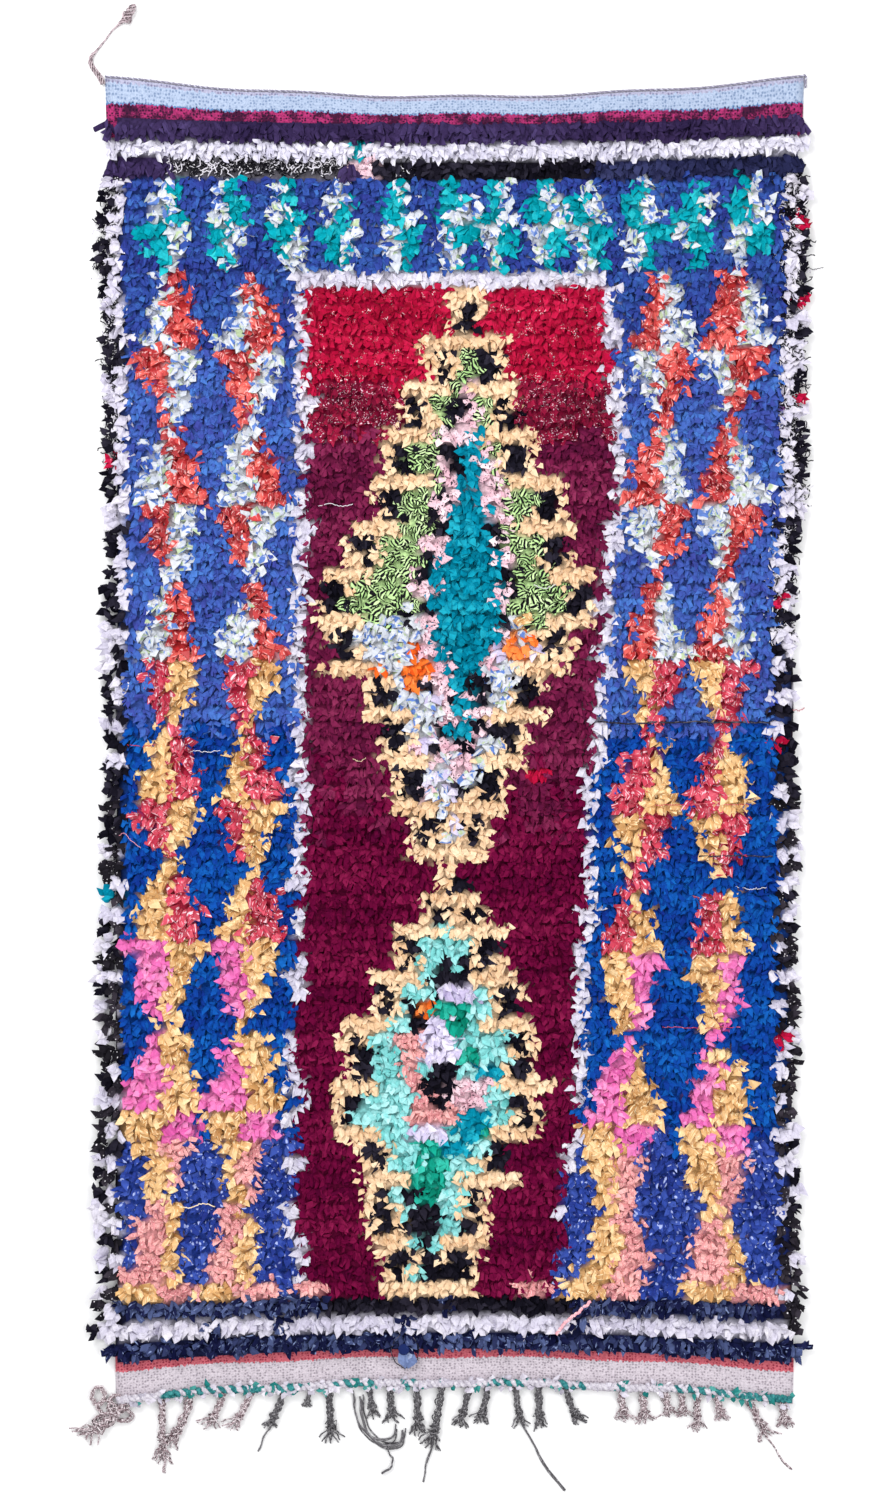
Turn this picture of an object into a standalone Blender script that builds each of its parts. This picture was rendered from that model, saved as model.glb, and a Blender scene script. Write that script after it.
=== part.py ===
"""A boucherouite rug: rag-strip pile knotted on a flat-woven ground, laid on the floor.

Metres. The origin is the centre of the ground weave's underside. +X runs across the rug,
+Y along its warps towards the plain blue end, and +Z up from the floor.
"""

import math

import bmesh
import bpy
from mathutils import Vector, noise

# The ground weave, from the plain blue end at the top to the off-white end at the bottom
CLOTH_TOP = 1.240
CLOTH_BOTTOM = -1.236
CLOTH_HALF_WIDTH = 0.652
HEADING_FLARE = 0.022
HEADING_FLARE_FROM = 1.02
CLOTH_THICK = 0.003

# What parts two pieces that touch, and how far a six-sided rope's flat lies from its middle
GAP = 0.0003
FLAT_SIDE = 0.866

# How far the wefts curve up at the blue end and down at the other, at the rug's two sides
WEFT_BOW = (
    # along the rug, rise at the side
    (1.30, 0.038),
    (1.24, 0.036),
    (1.20, 0.014),
    (0.90, 0.008),
    (0.00, 0.000),
    (-0.90, 0.000),
    (-1.08, -0.015),
    (-1.17, -0.027),
    (-1.30, -0.036),
)
EDGE_WAVE = 0.0022
EDGE_WAVE_LENGTH = 0.31

# The rag pile: rows of knots, with their lumps, and the locks that hang past the sides. The
# corner lock stands out furthest: it's the second from the lower left corner.
ROW_PITCH = 0.0296
PILE_ROWS = 80
PILE_TOP = 1.200
PILE_BOTTOM = PILE_TOP - PILE_ROWS * ROW_PITCH
PILE_COLUMNS = 30
PILE_OVERHANG = 0.004
PILE_HEIGHT = 0.0225
PILE_RIM_HEIGHT = 0.0150
ROW_RIDGE = 0.0016
LUMP_HEIGHT = 0.0105
LUMP_SIZE = 0.070
LOCK_TIP_HEIGHT = 0.0045
LOCK_REACH = (0.011, 0.028)
LOCK_TIP_SHARE = (0.30, 0.55)
CORNER_LOCK = 1
CORNER_LOCK_REACH = 0.070
PLAIN_ROWS = 3

# The yarn that closes the blue end, and the rag rope twined over the warps at the other end
EDGE_CORD_RADIUS = 0.0026
EDGE_CORD_POINTS = 44
TWINE_RADIUS = 0.0062
TWINE_SWELL = 0.0016
TWINE_LUMP = 0.026
TWINE_POINTS = 150

# The warp ends: a strip under the twined rope, then a tassel for each gathered bundle
STRIP_WIDTH = 0.022
STRIP_THICK = 0.003
STRIP_STOPS = 50
TASSEL_RISE = 0.0075
KNOT_SPREAD = 1.45
STRAND_SHARE = 0.36
STRAND_SPREAD = 0.55
TASSELS = (
    # root across, drift of the tip, bend, length, width, tail drift, tail length
    (-0.6320, -0.086, 1.2, 0.078, 0.017, 0.000, 0.000),
    (-0.5626, 0.000, 1.0, 0.133, 0.013, 0.004, 0.020),
    (-0.5086, -0.026, 1.6, 0.105, 0.013, 0.000, 0.000),
    (-0.4449, -0.032, 1.3, 0.077, 0.013, 0.000, 0.000),
    (-0.3908, -0.040, 1.2, 0.081, 0.012, 0.000, 0.000),
    (-0.3271, -0.033, 1.1, 0.079, 0.012, -0.020, 0.046),
    (-0.2770, -0.010, 1.0, 0.040, 0.007, 0.000, 0.000),
    (-0.2422, 0.006, 1.0, 0.111, 0.013, 0.000, 0.000),
    (-0.1650, 0.062, 2.6, 0.123, 0.013, -0.030, 0.060),
    (-0.1245, 0.004, 1.0, 0.077, 0.012, 0.000, 0.000),
    (-0.0724, 0.002, 1.0, 0.101, 0.012, 0.000, 0.000),
    (-0.0241, -0.022, 1.3, 0.123, 0.014, -0.016, 0.068),
    (0.0299, -0.022, 1.0, 0.085, 0.012, 0.000, 0.000),
    (0.0650, -0.016, 1.3, 0.079, 0.012, 0.000, 0.000),
    (0.1187, 0.010, 1.4, 0.087, 0.011, 0.082, 0.124),
    (0.1620, 0.002, 1.0, 0.093, 0.012, 0.000, 0.000),
    (0.2152, 0.027, 1.4, 0.077, 0.012, 0.000, 0.000),
    (0.3213, 0.006, 1.2, 0.067, 0.013, 0.000, 0.000),
    (0.3620, 0.004, 1.0, 0.069, 0.013, 0.000, 0.000),
    (0.4040, 0.010, 1.0, 0.056, 0.012, 0.000, 0.000),
    (0.4352, 0.006, 1.0, 0.054, 0.011, 0.000, 0.000),
    (0.4680, 0.000, 1.0, 0.081, 0.012, 0.000, 0.000),
    (0.5030, 0.014, 1.0, 0.056, 0.012, 0.000, 0.000),
    (0.5665, 0.040, 1.2, 0.083, 0.013, 0.044, 0.060),
    (0.6320, 0.006, 1.0, 0.058, 0.014, 0.000, 0.000),
)

# The knotted warp end that is left at the top left corner
CORNER_TASSEL = (
    # across from the corner, along from the corner, radius
    (-0.0046, -0.0120, 0.0052),
    (-0.0092, 0.0010, 0.0060),
    (-0.0190, 0.0130, 0.0056),
    (-0.0285, 0.0280, 0.0050),
    (-0.0270, 0.0420, 0.0042),
    (-0.0160, 0.0540, 0.0024),
    (-0.0005, 0.0730, 0.0016),
    (0.0150, 0.0940, 0.0016),
    (0.0240, 0.1010, 0.0022),
    (0.0303, 0.1080, 0.0040),
    (0.0370, 0.1130, 0.0052),
    (0.0440, 0.1200, 0.0080),
    (0.0500, 0.1290, 0.0094),
    (0.0540, 0.1370, 0.0070),
    (0.0570, 0.1420, 0.0030),
)


def between(value, rows):
    """The second column at value, read between the rows of a table sorted downwards by the first."""
    for (high, at_high), (low, at_low) in zip(rows, rows[1:]):
        if value >= low:
            share = min(1.0, (value - low) / (high - low))
            return at_low + (at_high - at_low) * share
    return rows[-1][1]


def smooth(value, start, end):
    """0 up to start and 1 from end on, with a soft rise between them."""
    share = min(1.0, max(0.0, (value - start) / (end - start)))
    return share * share * (3 - 2 * share)


def bowed(x, y):
    """A point of the straight cloth after its wefts have curved towards the rug's ends."""
    side = (x / CLOTH_HALF_WIDTH) ** 2
    wave = EDGE_WAVE * math.sin(2 * math.pi * x / EDGE_WAVE_LENGTH + y)
    return x, y + side * between(y, WEFT_BOW) + wave * abs(y) / CLOTH_TOP


def half_width(y):
    """Half the ground weave's width, which flares at the blue end and wavers a little."""
    flare = HEADING_FLARE * smooth(y, HEADING_FLARE_FROM, PILE_TOP)
    return CLOTH_HALF_WIDTH + flare + EDGE_WAVE * math.sin(2 * math.pi * y / EDGE_WAVE_LENGTH)


def cloth_point(across, y):
    """A point of the ground weave, with across from -1 at the left edge to 1 at the right."""
    return bowed(across * half_width(y), y)


def spread(count, start=-1.0, end=1.0):
    """That many numbers, evenly from start to end."""
    return [start + (end - start) * i / (count - 1) for i in range(count)]


def finish(name, colour, roughness):
    """A Principled material of one colour."""
    material = bpy.data.materials.new(name)
    material.use_nodes = True
    shader = material.node_tree.nodes["Principled BSDF"]
    shader.inputs["Base Color"].default_value = (*colour, 1.0)
    shader.inputs["Roughness"].default_value = roughness
    shader.inputs["Metallic"].default_value = 0.0
    return material


def add_object(name, data, material):
    """The named object, in the rug's collection, with its material."""
    data.materials.append(material)
    piece = bpy.data.objects.new(name, data)
    rug.objects.link(piece)
    return piece


def ground_weave(material):
    """The flat-woven cloth that carries the pile and shows plain at both ends."""
    ends = spread(64)
    sides = spread(34, CLOTH_TOP, CLOTH_BOTTOM)
    outline = [cloth_point(across, CLOTH_TOP) for across in ends]
    outline += [cloth_point(1.0, y) for y in sides[1:-1]]
    outline += [cloth_point(across, CLOTH_BOTTOM) for across in reversed(ends)]
    outline += [cloth_point(-1.0, y) for y in reversed(sides[1:-1])]
    curve = bpy.data.curves.new("ground_weave", "CURVE")
    curve.dimensions = "2D"
    curve.fill_mode = "BOTH"
    curve.extrude = CLOTH_THICK / 2
    edge = curve.splines.new("POLY")
    edge.points.add(len(outline) - 1)
    for point, (x, y) in zip(edge.points, outline):
        point.co = (x, y, 0.0, 1.0)
    edge.use_cyclic_u = True
    cloth = add_object("ground_weave", curve, material)
    cloth.location.z = CLOTH_THICK / 2


def pile_height(x, y, across, along):
    """The pile's top: ridges of two knot rows, lumps, and lower edges all round."""
    row = (PILE_TOP - y) / ROW_PITCH
    ridge = ROW_RIDGE * math.cos(math.pi * row)
    lump = LUMP_HEIGHT * noise.noise(Vector((x / LUMP_SIZE, y / LUMP_SIZE, 0.0)))
    middle = smooth(1.0 - max(abs(across), abs(along)), 0.0, 0.05)
    return PILE_RIM_HEIGHT + (PILE_HEIGHT - PILE_RIM_HEIGHT) * middle + ridge + lump


def pull_lock(mesh, face, number):
    """Draws one side face of the slab out into a lock that narrows and comes down to rest."""
    reach = LOCK_REACH[0] + (LOCK_REACH[1] - LOCK_REACH[0]) * noise.random()
    share = LOCK_TIP_SHARE[0] + (LOCK_TIP_SHARE[1] - LOCK_TIP_SHARE[0]) * noise.random()
    swing = (noise.random() - 0.5) * ROW_PITCH
    outward = face.normal.copy()
    outward.z = 0.0
    outward.normalize()
    if number == CORNER_LOCK:
        reach = CORNER_LOCK_REACH
    along = Vector((-outward.y, outward.x, 0.0))
    foot = 0.0 if abs(outward.x) > abs(outward.y) else CLOTH_THICK + GAP
    tip = bmesh.ops.extrude_discrete_faces(mesh, faces=[face])["faces"][0]
    middle = tip.calc_center_median()
    for vert in tip.verts:
        aside = (vert.co - middle).dot(along)
        raised = vert.co.z > middle.z
        vert.co = middle + outward * reach + along * (aside * share + swing)
        vert.co.z = foot + LOCK_TIP_HEIGHT * raised


def rag_pile(material):
    """The knotted rag pile as one lumpy slab, with locks at its sides and its lower end."""
    mesh = bmesh.new()
    bmesh.ops.create_grid(mesh, x_segments=PILE_COLUMNS, y_segments=PILE_ROWS, size=1.0)
    for vert in mesh.verts:
        across, along = vert.co.x, vert.co.y
        line = PILE_TOP + (PILE_BOTTOM - PILE_TOP) * (1.0 - along) / 2
        rim = half_width(line) + PILE_OVERHANG * (1.0 - smooth(line, HEADING_FLARE_FROM, PILE_TOP))
        x, y = bowed(across * rim, line)
        vert.co = (x, y, pile_height(x, y, across, along))
    top = mesh.faces[:]
    under = bmesh.ops.extrude_face_region(mesh, geom=top)["geom"]
    foot = CLOTH_THICK + GAP
    for vert in [part for part in under if isinstance(part, bmesh.types.BMVert)]:
        vert.co.z = foot
    flat = [part for part in under if isinstance(part, bmesh.types.BMFace)]
    bmesh.ops.dissolve_faces(mesh, faces=flat)
    bmesh.ops.recalc_face_normals(mesh, faces=mesh.faces)
    plain_line = PILE_TOP - PLAIN_ROWS * ROW_PITCH
    walls = [
        face
        for face in mesh.faces
        if abs(face.normal.z) < 0.1 and face.calc_center_median().y < plain_line
    ]
    walls.sort(key=lambda face: (round(face.normal.x), face.calc_center_median().y))
    noise.seed_set(7)
    for number, face in enumerate(walls):
        if number % 4 != 3 or number == CORNER_LOCK:
            pull_lock(mesh, face, number)
    data = bpy.data.meshes.new("rag_pile")
    mesh.to_mesh(data)
    mesh.free()
    add_object("rag_pile", data, material)


def rope(name, points, material, sides=1):
    """A tube through (x, y, z, radius) points, with its ends closed."""
    curve = bpy.data.curves.new(name, "CURVE")
    curve.dimensions = "3D"
    curve.twist_mode = "Z_UP"
    curve.bevel_depth = 1.0
    curve.bevel_resolution = sides
    curve.use_fill_caps = True
    line = curve.splines.new("POLY")
    line.points.add(len(points) - 1)
    for point, (x, y, z, radius) in zip(line.points, points):
        point.co = (x, y, z, 1.0)
        point.radius = radius
    add_object(name, curve, material)


def edge_cord(material):
    """The yarn that runs along the blue end's edge and turns down round its right corner."""
    away = EDGE_CORD_RADIUS + GAP * 2
    lie = EDGE_CORD_RADIUS * FLAT_SIDE
    points = []
    for across in spread(EDGE_CORD_POINTS):
        x, y = cloth_point(across, CLOTH_TOP)
        points.append((x, y + away, lie, EDGE_CORD_RADIUS))
    corner_x, corner_y = cloth_point(1.0, CLOTH_TOP)
    for turn in spread(5, 70.0, 0.0):
        angle = math.radians(turn)
        x = corner_x + away * 1.3 * math.cos(angle)
        y = corner_y + away * 1.3 * math.sin(angle)
        points.append((x, y, lie, EDGE_CORD_RADIUS))
    end_x = cloth_point(1.0, CLOTH_TOP - 0.02)[0]
    points.append((end_x + away * 1.3, corner_y - 0.02, lie, EDGE_CORD_RADIUS))
    rope("top_edge_cord", points, material)


def strip_point(across, out):
    """A point of the warp strip, out metres beyond the ground weave's lower edge."""
    x, y = cloth_point(across, CLOTH_BOTTOM)
    return x, y - 2 * GAP - out


def twined_edge(material):
    """The rag rope twined over the warps, swollen where each rag shows."""
    points = []
    for across in spread(TWINE_POINTS, -0.995, 0.995):
        x, y = strip_point(across, STRIP_WIDTH / 2)
        turn = math.cos(2 * math.pi * x / TWINE_LUMP)
        radius = TWINE_RADIUS + TWINE_SWELL * turn
        middle = STRIP_THICK + 2 * GAP + (TWINE_RADIUS + TWINE_SWELL) * FLAT_SIDE
        points.append((x, y, middle, radius))
    rope("twined_edge", points, material)


def tassel_rings(root, drift, bend, length, width):
    """(across, out, width, height) down a tassel: its bound stem, then its swollen knot."""
    rings = []
    for share, swell in ((0.25, 0.85), (0.50, 0.80), (0.62, KNOT_SPREAD), (0.76, KNOT_SPREAD)):
        x = root + drift * share**bend
        height = TASSEL_RISE * swell * width / 0.013
        rings.append((x, STRIP_WIDTH + (length - STRIP_WIDTH) * share, width * swell, height))
    return rings


def draw_out(mesh, faces, ring, base_y):
    """Draws three faces out side by side to the next ring of a tassel, and returns them."""
    across, out, width, height = ring
    grown = bmesh.ops.extrude_face_region(mesh, geom=faces)["geom"]
    corners = [part for part in grown if isinstance(part, bmesh.types.BMVert)]
    bmesh.ops.delete(mesh, geom=faces, context="FACES_ONLY")
    floor_line = min(vert.co.z for vert in corners)
    corners.sort(key=lambda vert: (vert.co.z > floor_line + 1e-5, vert.co.x))
    for number, vert in enumerate(corners):
        raised, place = divmod(number, 4)
        shrink = 1.0 - 0.28 * raised
        rise = height * (1.0 if place in (1, 2) else 0.72)
        vert.co = (
            across + width * shrink * (place / 3 - 0.5),
            base_y - out,
            rise * raised,
        )
    return [part for part in grown if isinstance(part, bmesh.types.BMFace)]


def draw_strand(mesh, face, points):
    """Draws one face out through (x, y, width, height) points that lie level on the floor."""
    for x, y, width, height in points:
        tip = bmesh.ops.extrude_discrete_faces(mesh, faces=[face])["faces"][0]
        corners = sorted(tip.verts, key=lambda vert: (vert.co.z > 1e-5, vert.co.x))
        for number, vert in enumerate(corners):
            raised, place = divmod(number, 2)
            vert.co = (x + width * (place - 0.5) * (1.0 - 0.3 * raised), y, height * raised)
        face = tip


def tassel(mesh, faces, row):
    """One bundle of warps, drawn out of the strip: stem, knot, three strands and any tail."""
    root, drift, bend, length, width, tail_drift, tail_length = row
    base_y = strip_point(root / half_width(CLOTH_BOTTOM), 0.0)[1]
    for ring in tassel_rings(root, drift, bend, length, width):
        faces = draw_out(mesh, faces, ring, base_y)
    faces.sort(key=lambda face: face.calc_center_median().x)
    lean = drift * bend / length
    length -= STRIP_WIDTH
    knot_x, knot_out = root + drift * 0.76**bend, STRIP_WIDTH + length * 0.76
    for number, face in enumerate(faces):
        side = number - 1
        run = length * 0.24 * (1.0 if side else 1.25)
        strand_width = width * STRAND_SHARE
        start_x = knot_x + side * width * KNOT_SPREAD / 3
        points = []
        for share in (0.5, 1.0):
            x = start_x + run * share * (lean + side * STRAND_SPREAD)
            y = base_y - knot_out - run * share
            points.append((x, y, strand_width * (1.1 - 0.5 * share), strand_width * 0.8))
        if side == 0 and tail_length:
            end_x, end_y = root + drift, base_y - STRIP_WIDTH - length
            for share in (0.34, 0.68, 1.0):
                x = end_x + tail_drift * share
                y = end_y - tail_length * share
                points.append((x, y, strand_width * (0.8 - 0.3 * share), strand_width * 0.6))
        draw_strand(mesh, face, points)


def warp_fringe(material):
    """The warps beyond the weave: a narrow strip with every tassel drawn out of its edge."""
    half = half_width(CLOTH_BOTTOM)
    stops = {
        x
        for x in spread(STRIP_STOPS, -half, half)
        if all(abs(x - row[0]) > row[4] for row in TASSELS)
    }
    for root, *_, width, _tail_drift, _tail_length in TASSELS:
        stops |= {root + width * (place / 3 - 0.5) for place in range(4)}
    stops = sorted(stops)
    mesh = bmesh.new()
    bmesh.ops.create_grid(mesh, x_segments=len(stops) - 1, y_segments=1, size=1.0)
    for vert in mesh.verts:
        place = stops[round((vert.co.x + 1.0) / 2 * (len(stops) - 1))]
        out = STRIP_WIDTH if vert.co.y < 0 else 0.0
        x, y = strip_point(place / half, out)
        vert.co = (x, y, STRIP_THICK)
    under = bmesh.ops.extrude_face_region(mesh, geom=mesh.faces[:])["geom"]
    for vert in [part for part in under if isinstance(part, bmesh.types.BMVert)]:
        vert.co.z = 0.0
    bmesh.ops.recalc_face_normals(mesh, faces=mesh.faces)
    front = [face for face in mesh.faces if face.normal.y < -0.9]
    for row in TASSELS:
        root, width = row[0], row[4]
        chosen = [
            face
            for face in front
            if face.is_valid and abs(face.calc_center_median().x - root) < width / 2
        ]
        tassel(mesh, chosen, row)
    bmesh.ops.recalc_face_normals(mesh, faces=mesh.faces)
    data = bpy.data.meshes.new("warp_fringe")
    mesh.to_mesh(data)
    mesh.free()
    add_object("warp_fringe", data, material)


def corner_tassel(material):
    """A bundle of warps left at the top left corner, knotted at its end, level on the floor."""
    corner_x, corner_y = cloth_point(-1.0, CLOTH_TOP)
    points = [
        (corner_x + across, corner_y + along, radius * FLAT_SIDE, radius)
        for across, along, radius in CORNER_TASSEL
    ]
    rope("corner_tassel", points, material)


for startup_object in list(bpy.data.objects):
    bpy.data.objects.remove(startup_object)
rug = bpy.data.collections.new("boucherouite_rug")
bpy.context.scene.collection.children.link(rug)

ground_weave(finish("off_white_wool_weave", (0.70, 0.68, 0.72), 0.9))
rag_pile(finish("blue_jersey_rag", (0.05, 0.10, 0.45), 0.9))
edge_cord(finish("grey_brown_yarn", (0.30, 0.25, 0.26), 0.95))
twined_edge(finish("green_and_white_rag", (0.10, 0.42, 0.36), 0.9))
warp_fringe(finish("grey_warp_yarn", (0.20, 0.18, 0.19), 0.95))
corner_tassel(finish("pale_warp_yarn", (0.42, 0.37, 0.38), 0.95))
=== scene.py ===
"""A boucherouite rug: torn rags knotted on a flat weave, laid out flat and seen from above.

Metres, in the rug's own frame: +X runs across it, +Y along its warps towards the blue end and
+Z up from the floor. The origin is the middle of the ground weave's underside.
"""

import math

import bpy
import numpy as np
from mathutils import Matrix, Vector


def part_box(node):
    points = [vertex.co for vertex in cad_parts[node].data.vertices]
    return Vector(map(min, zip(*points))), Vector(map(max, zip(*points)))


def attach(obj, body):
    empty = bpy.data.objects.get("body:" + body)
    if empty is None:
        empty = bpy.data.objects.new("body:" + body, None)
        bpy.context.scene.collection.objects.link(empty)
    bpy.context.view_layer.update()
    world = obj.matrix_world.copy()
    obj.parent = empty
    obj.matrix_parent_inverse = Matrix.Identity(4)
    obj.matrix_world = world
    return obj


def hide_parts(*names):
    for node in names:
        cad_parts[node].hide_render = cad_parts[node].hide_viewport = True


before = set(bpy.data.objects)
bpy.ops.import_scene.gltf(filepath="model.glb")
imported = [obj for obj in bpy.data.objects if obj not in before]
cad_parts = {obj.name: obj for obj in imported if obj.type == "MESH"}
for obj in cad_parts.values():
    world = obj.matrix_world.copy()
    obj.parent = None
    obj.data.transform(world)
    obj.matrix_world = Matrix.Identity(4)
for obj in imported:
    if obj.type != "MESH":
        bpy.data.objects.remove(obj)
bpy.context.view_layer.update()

# The studio: a white floor, one broad lamp on each side of the rug for even light with a little
# relief, and a long lens straight above, so that the rug's sides stay parallel.

FRAME_HEIGHT = 2.895
FRAME_MIDDLE = (-0.0367, -0.0174)
LENS_MM = 85.0
SENSOR_MM = 36.0
FLOOR_HALF = 9
# The floor lies a hair lower than the rug's underside, so that the two never share a plane
FLOOR_DROP = 0.0006


def linear(colour):
    """An sRGB hex colour as linear red, green, blue and an alpha of 1."""
    parts = [int(colour[i : i + 2], 16) / 255 for i in (1, 3, 5)]
    return (*[p / 12.92 if p < 0.0405 else ((p + 0.055) / 1.055) ** 2.4 for p in parts], 1.0)


def add(tree, kind, inputs=None, stops=(), **settings):
    """A new node with its settings. Each input takes a value or the socket that feeds it."""
    node = tree.nodes.new("ShaderNode" + kind)
    for name, value in settings.items():
        setattr(node, name, value)
    for place, (position, colour) in enumerate(stops):
        ramp = node.color_ramp.elements
        stop = ramp[place] if place < 2 else ramp.new(position)
        stop.position = position
        stop.color = linear(colour)
    for name, value in (inputs or {}).items():
        if isinstance(value, bpy.types.NodeSocket):
            tree.links.new(value, node.inputs[name])
        else:
            node.inputs[name].default_value = value
    return node


def new_material(name, **shader_inputs):
    """An empty material with a Principled shader: its node tree and the shader come too."""
    material = bpy.data.materials.new(name)
    material.use_nodes = True
    tree = material.node_tree
    shader = tree.nodes["Principled BSDF"]
    for key, value in shader_inputs.items():
        shader.inputs[key.replace("_", " ").title().replace("Ior", "IOR")].default_value = value
    return material, tree, shader


def mesh_object(name, points, faces, material, uv_maps=None, smooth=True, **values):
    """A mesh from arrays: faces is a list of index arrays, one row to a face, and each UV map
    holds a pair for each corner of them in turn. Other arrays become values at the points."""
    mesh = bpy.data.meshes.new(name)
    corners = np.concatenate([part.ravel() for part in faces]).astype(np.int32)
    sizes = np.concatenate([np.full(len(part), part.shape[1]) for part in faces])
    mesh.vertices.add(len(points))
    mesh.vertices.foreach_set("co", np.asarray(points, np.float32).ravel())
    mesh.loops.add(len(corners))
    mesh.loops.foreach_set("vertex_index", corners)
    mesh.polygons.add(len(sizes))
    mesh.polygons.foreach_set("loop_start", (np.cumsum(sizes) - sizes).astype(np.int32))
    mesh.polygons.foreach_set("use_smooth", np.full(len(sizes), smooth))
    mesh.update(calc_edges=True)
    for title, pairs in (uv_maps or {}).items():
        layer = mesh.uv_layers.new(name=title, do_init=False)
        layer.uv.foreach_set("vector", np.asarray(pairs, np.float32).ravel())
    for title, numbers in values.items():
        kind = "FLOAT_COLOR" if np.ndim(numbers) == 2 else "FLOAT"
        field = "color" if kind == "FLOAT_COLOR" else "value"
        attribute = mesh.attributes.new(title, kind, "POINT")
        attribute.data.foreach_set(field, np.asarray(numbers, np.float32).ravel())
    mesh.materials.append(material)
    piece = bpy.data.objects.new(name, mesh)
    bpy.context.scene.collection.objects.link(piece)
    return piece


white_floor, _, _ = new_material("white_floor_paint", base_color=linear("#f4f4f5"), roughness=0.9)
floor_corners = np.array([[-1, -1, 0], [1, -1, 0], [1, 1, 0], [-1, 1, 0]]) * FLOOR_HALF - (0, 0, FLOOR_DROP)
floor = mesh_object("floor", floor_corners, [np.array([[0, 1, 2, 3]])], white_floor)

camera_data = bpy.data.cameras.new("camera")
camera_data.lens = LENS_MM
camera_data.sensor_width = SENSOR_MM
camera = bpy.data.objects.new("camera", camera_data)
camera.location = (*FRAME_MIDDLE, FRAME_HEIGHT * LENS_MM / SENSOR_MM)
bpy.context.scene.collection.objects.link(camera)
bpy.context.scene.camera = camera

for lamp_name, lamp_place, lamp_power, lamp_size in (
    # name, place, watts, width
    ("upper_left_lamp", (-2.6, 3.2, 4.2), 210, 2.8),
    ("right_lamp", (3.6, -0.8, 4.6), 120, 3.6),
):
    lamp_data = bpy.data.lights.new(lamp_name, "AREA")
    lamp_data.energy = lamp_power
    lamp_data.size = lamp_size
    lamp = bpy.data.objects.new(lamp_name, lamp_data)
    lamp.location = lamp_place
    lamp.rotation_euler = (-lamp.location).to_track_quat("-Z", "Y").to_euler()
    bpy.context.scene.collection.objects.link(lamp)

sky = bpy.data.worlds.new("soft_room")
sky.use_nodes = True
sky.node_tree.nodes["Background"].inputs["Color"].default_value = linear("#ffffff")
sky.node_tree.nodes["Background"].inputs["Strength"].default_value = 0.86
bpy.context.scene.world = sky
bpy.context.scene.view_settings.view_transform = "Standard"

# The chart: which rag each knot is tied from. The weaver works 3 plain rows, 72 rows of field and
# 3 more plain rows, with 71 knots across. Stepped lozenges grow a few knots every third row.
# Rows are counted from the field's first one, and a row's middle lies half a row on.

FIELD_ROWS = 72
BORDER_ROWS = 3
FIELD_TOP = 1.0847
FIELD_PITCH = 0.02986
TOP_BORDER_PITCH = 0.0371
LOWER_BORDER_PITCH = 0.0355
KNOT_PITCH = 0.0186
KNOTS_ACROSS = 71
RUG_HALF_WIDTH = 0.652
# Knots stray this far from the drawn outline, so that no edge of the pattern is quite straight
STRAY = 0.0035

PANEL_SIDES = (
    # row, left side, right side
    (6.5, -0.302, 0.281),
    (8.0, -0.298, 0.302),
    (15.6, -0.290, 0.314),
    (22.0, -0.292, 0.314),
    (27.2, -0.296, 0.297),
    (33.7, -0.302, 0.280),
    (42.1, -0.302, 0.259),
    (53.1, -0.306, 0.242),
    (59.5, -0.309, 0.238),
    (63.0, -0.308, 0.237),
    (65.5, -0.306, 0.214),
    (72.0, -0.301, 0.194),
)
PANEL_TOP_ROW = 7.0
# The white edge takes the knots this near the panel's sides, as a share of their pitch
PANEL_EDGE, LOWER_PANEL_EDGE = 0.55, 0.45
PANEL_REDS = (
    # last row, rag
    (13.1, "bright_red"),
    (16.7, "flecked_maroon"),
    (40.1, "burgundy"),
    (75.0, "wine"),
)
BLUES = (
    # last row, rag
    (11.2, "dusk_blue"),
    (35.6, "violet_blue"),
    (61.8, "cobalt"),
    (75.0, "dotted_blue"),
)
# Where one blue or red gives way to the next, the two are mixed over this many rows
BLUES_MIX = 1.6
REDS_MIX, LOWER_REDS_MIX = 1.2, 7.0
UPPER_MEDALLION = (
    # row of the bar, middle, half width
    (7.5, 0.026, 0.032),
    (10.5, 0.025, 0.078),
    (13.5, 0.012, 0.115),
    (16.5, 0.008, 0.145),
    (19.5, 0.025, 0.183),
    (22.5, 0.011, 0.216),
    (25.5, 0.007, 0.267),
    (28.5, 0.003, 0.272),
    (31.5, -0.011, 0.234),
    (34.5, -0.005, 0.176),
    (37.5, -0.004, 0.144),
    (40.5, -0.011, 0.108),
    (43.5, -0.006, 0.074),
    (45.2, -0.006, 0.020),
)
LOWER_MEDALLION = (
    # row of the bar, middle, half width
    (46.5, -0.004, 0.063),
    (48.7, -0.012, 0.108),
    (51.7, -0.020, 0.145),
    (54.7, -0.030, 0.185),
    (58.4, -0.025, 0.210),
    (61.6, -0.035, 0.200),
    (64.6, -0.035, 0.150),
    (68.4, -0.052, 0.118),
    (71.5, -0.047, 0.088),
    (73.0, -0.047, 0.030),
)
BAR_HALF_ROW = 0.55
STEP_BAR_LENGTH = 0.098
STEP_RIM = 0.0165
STEP_SPOT = 0.0480
STEP_INNER = 0.0600

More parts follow.
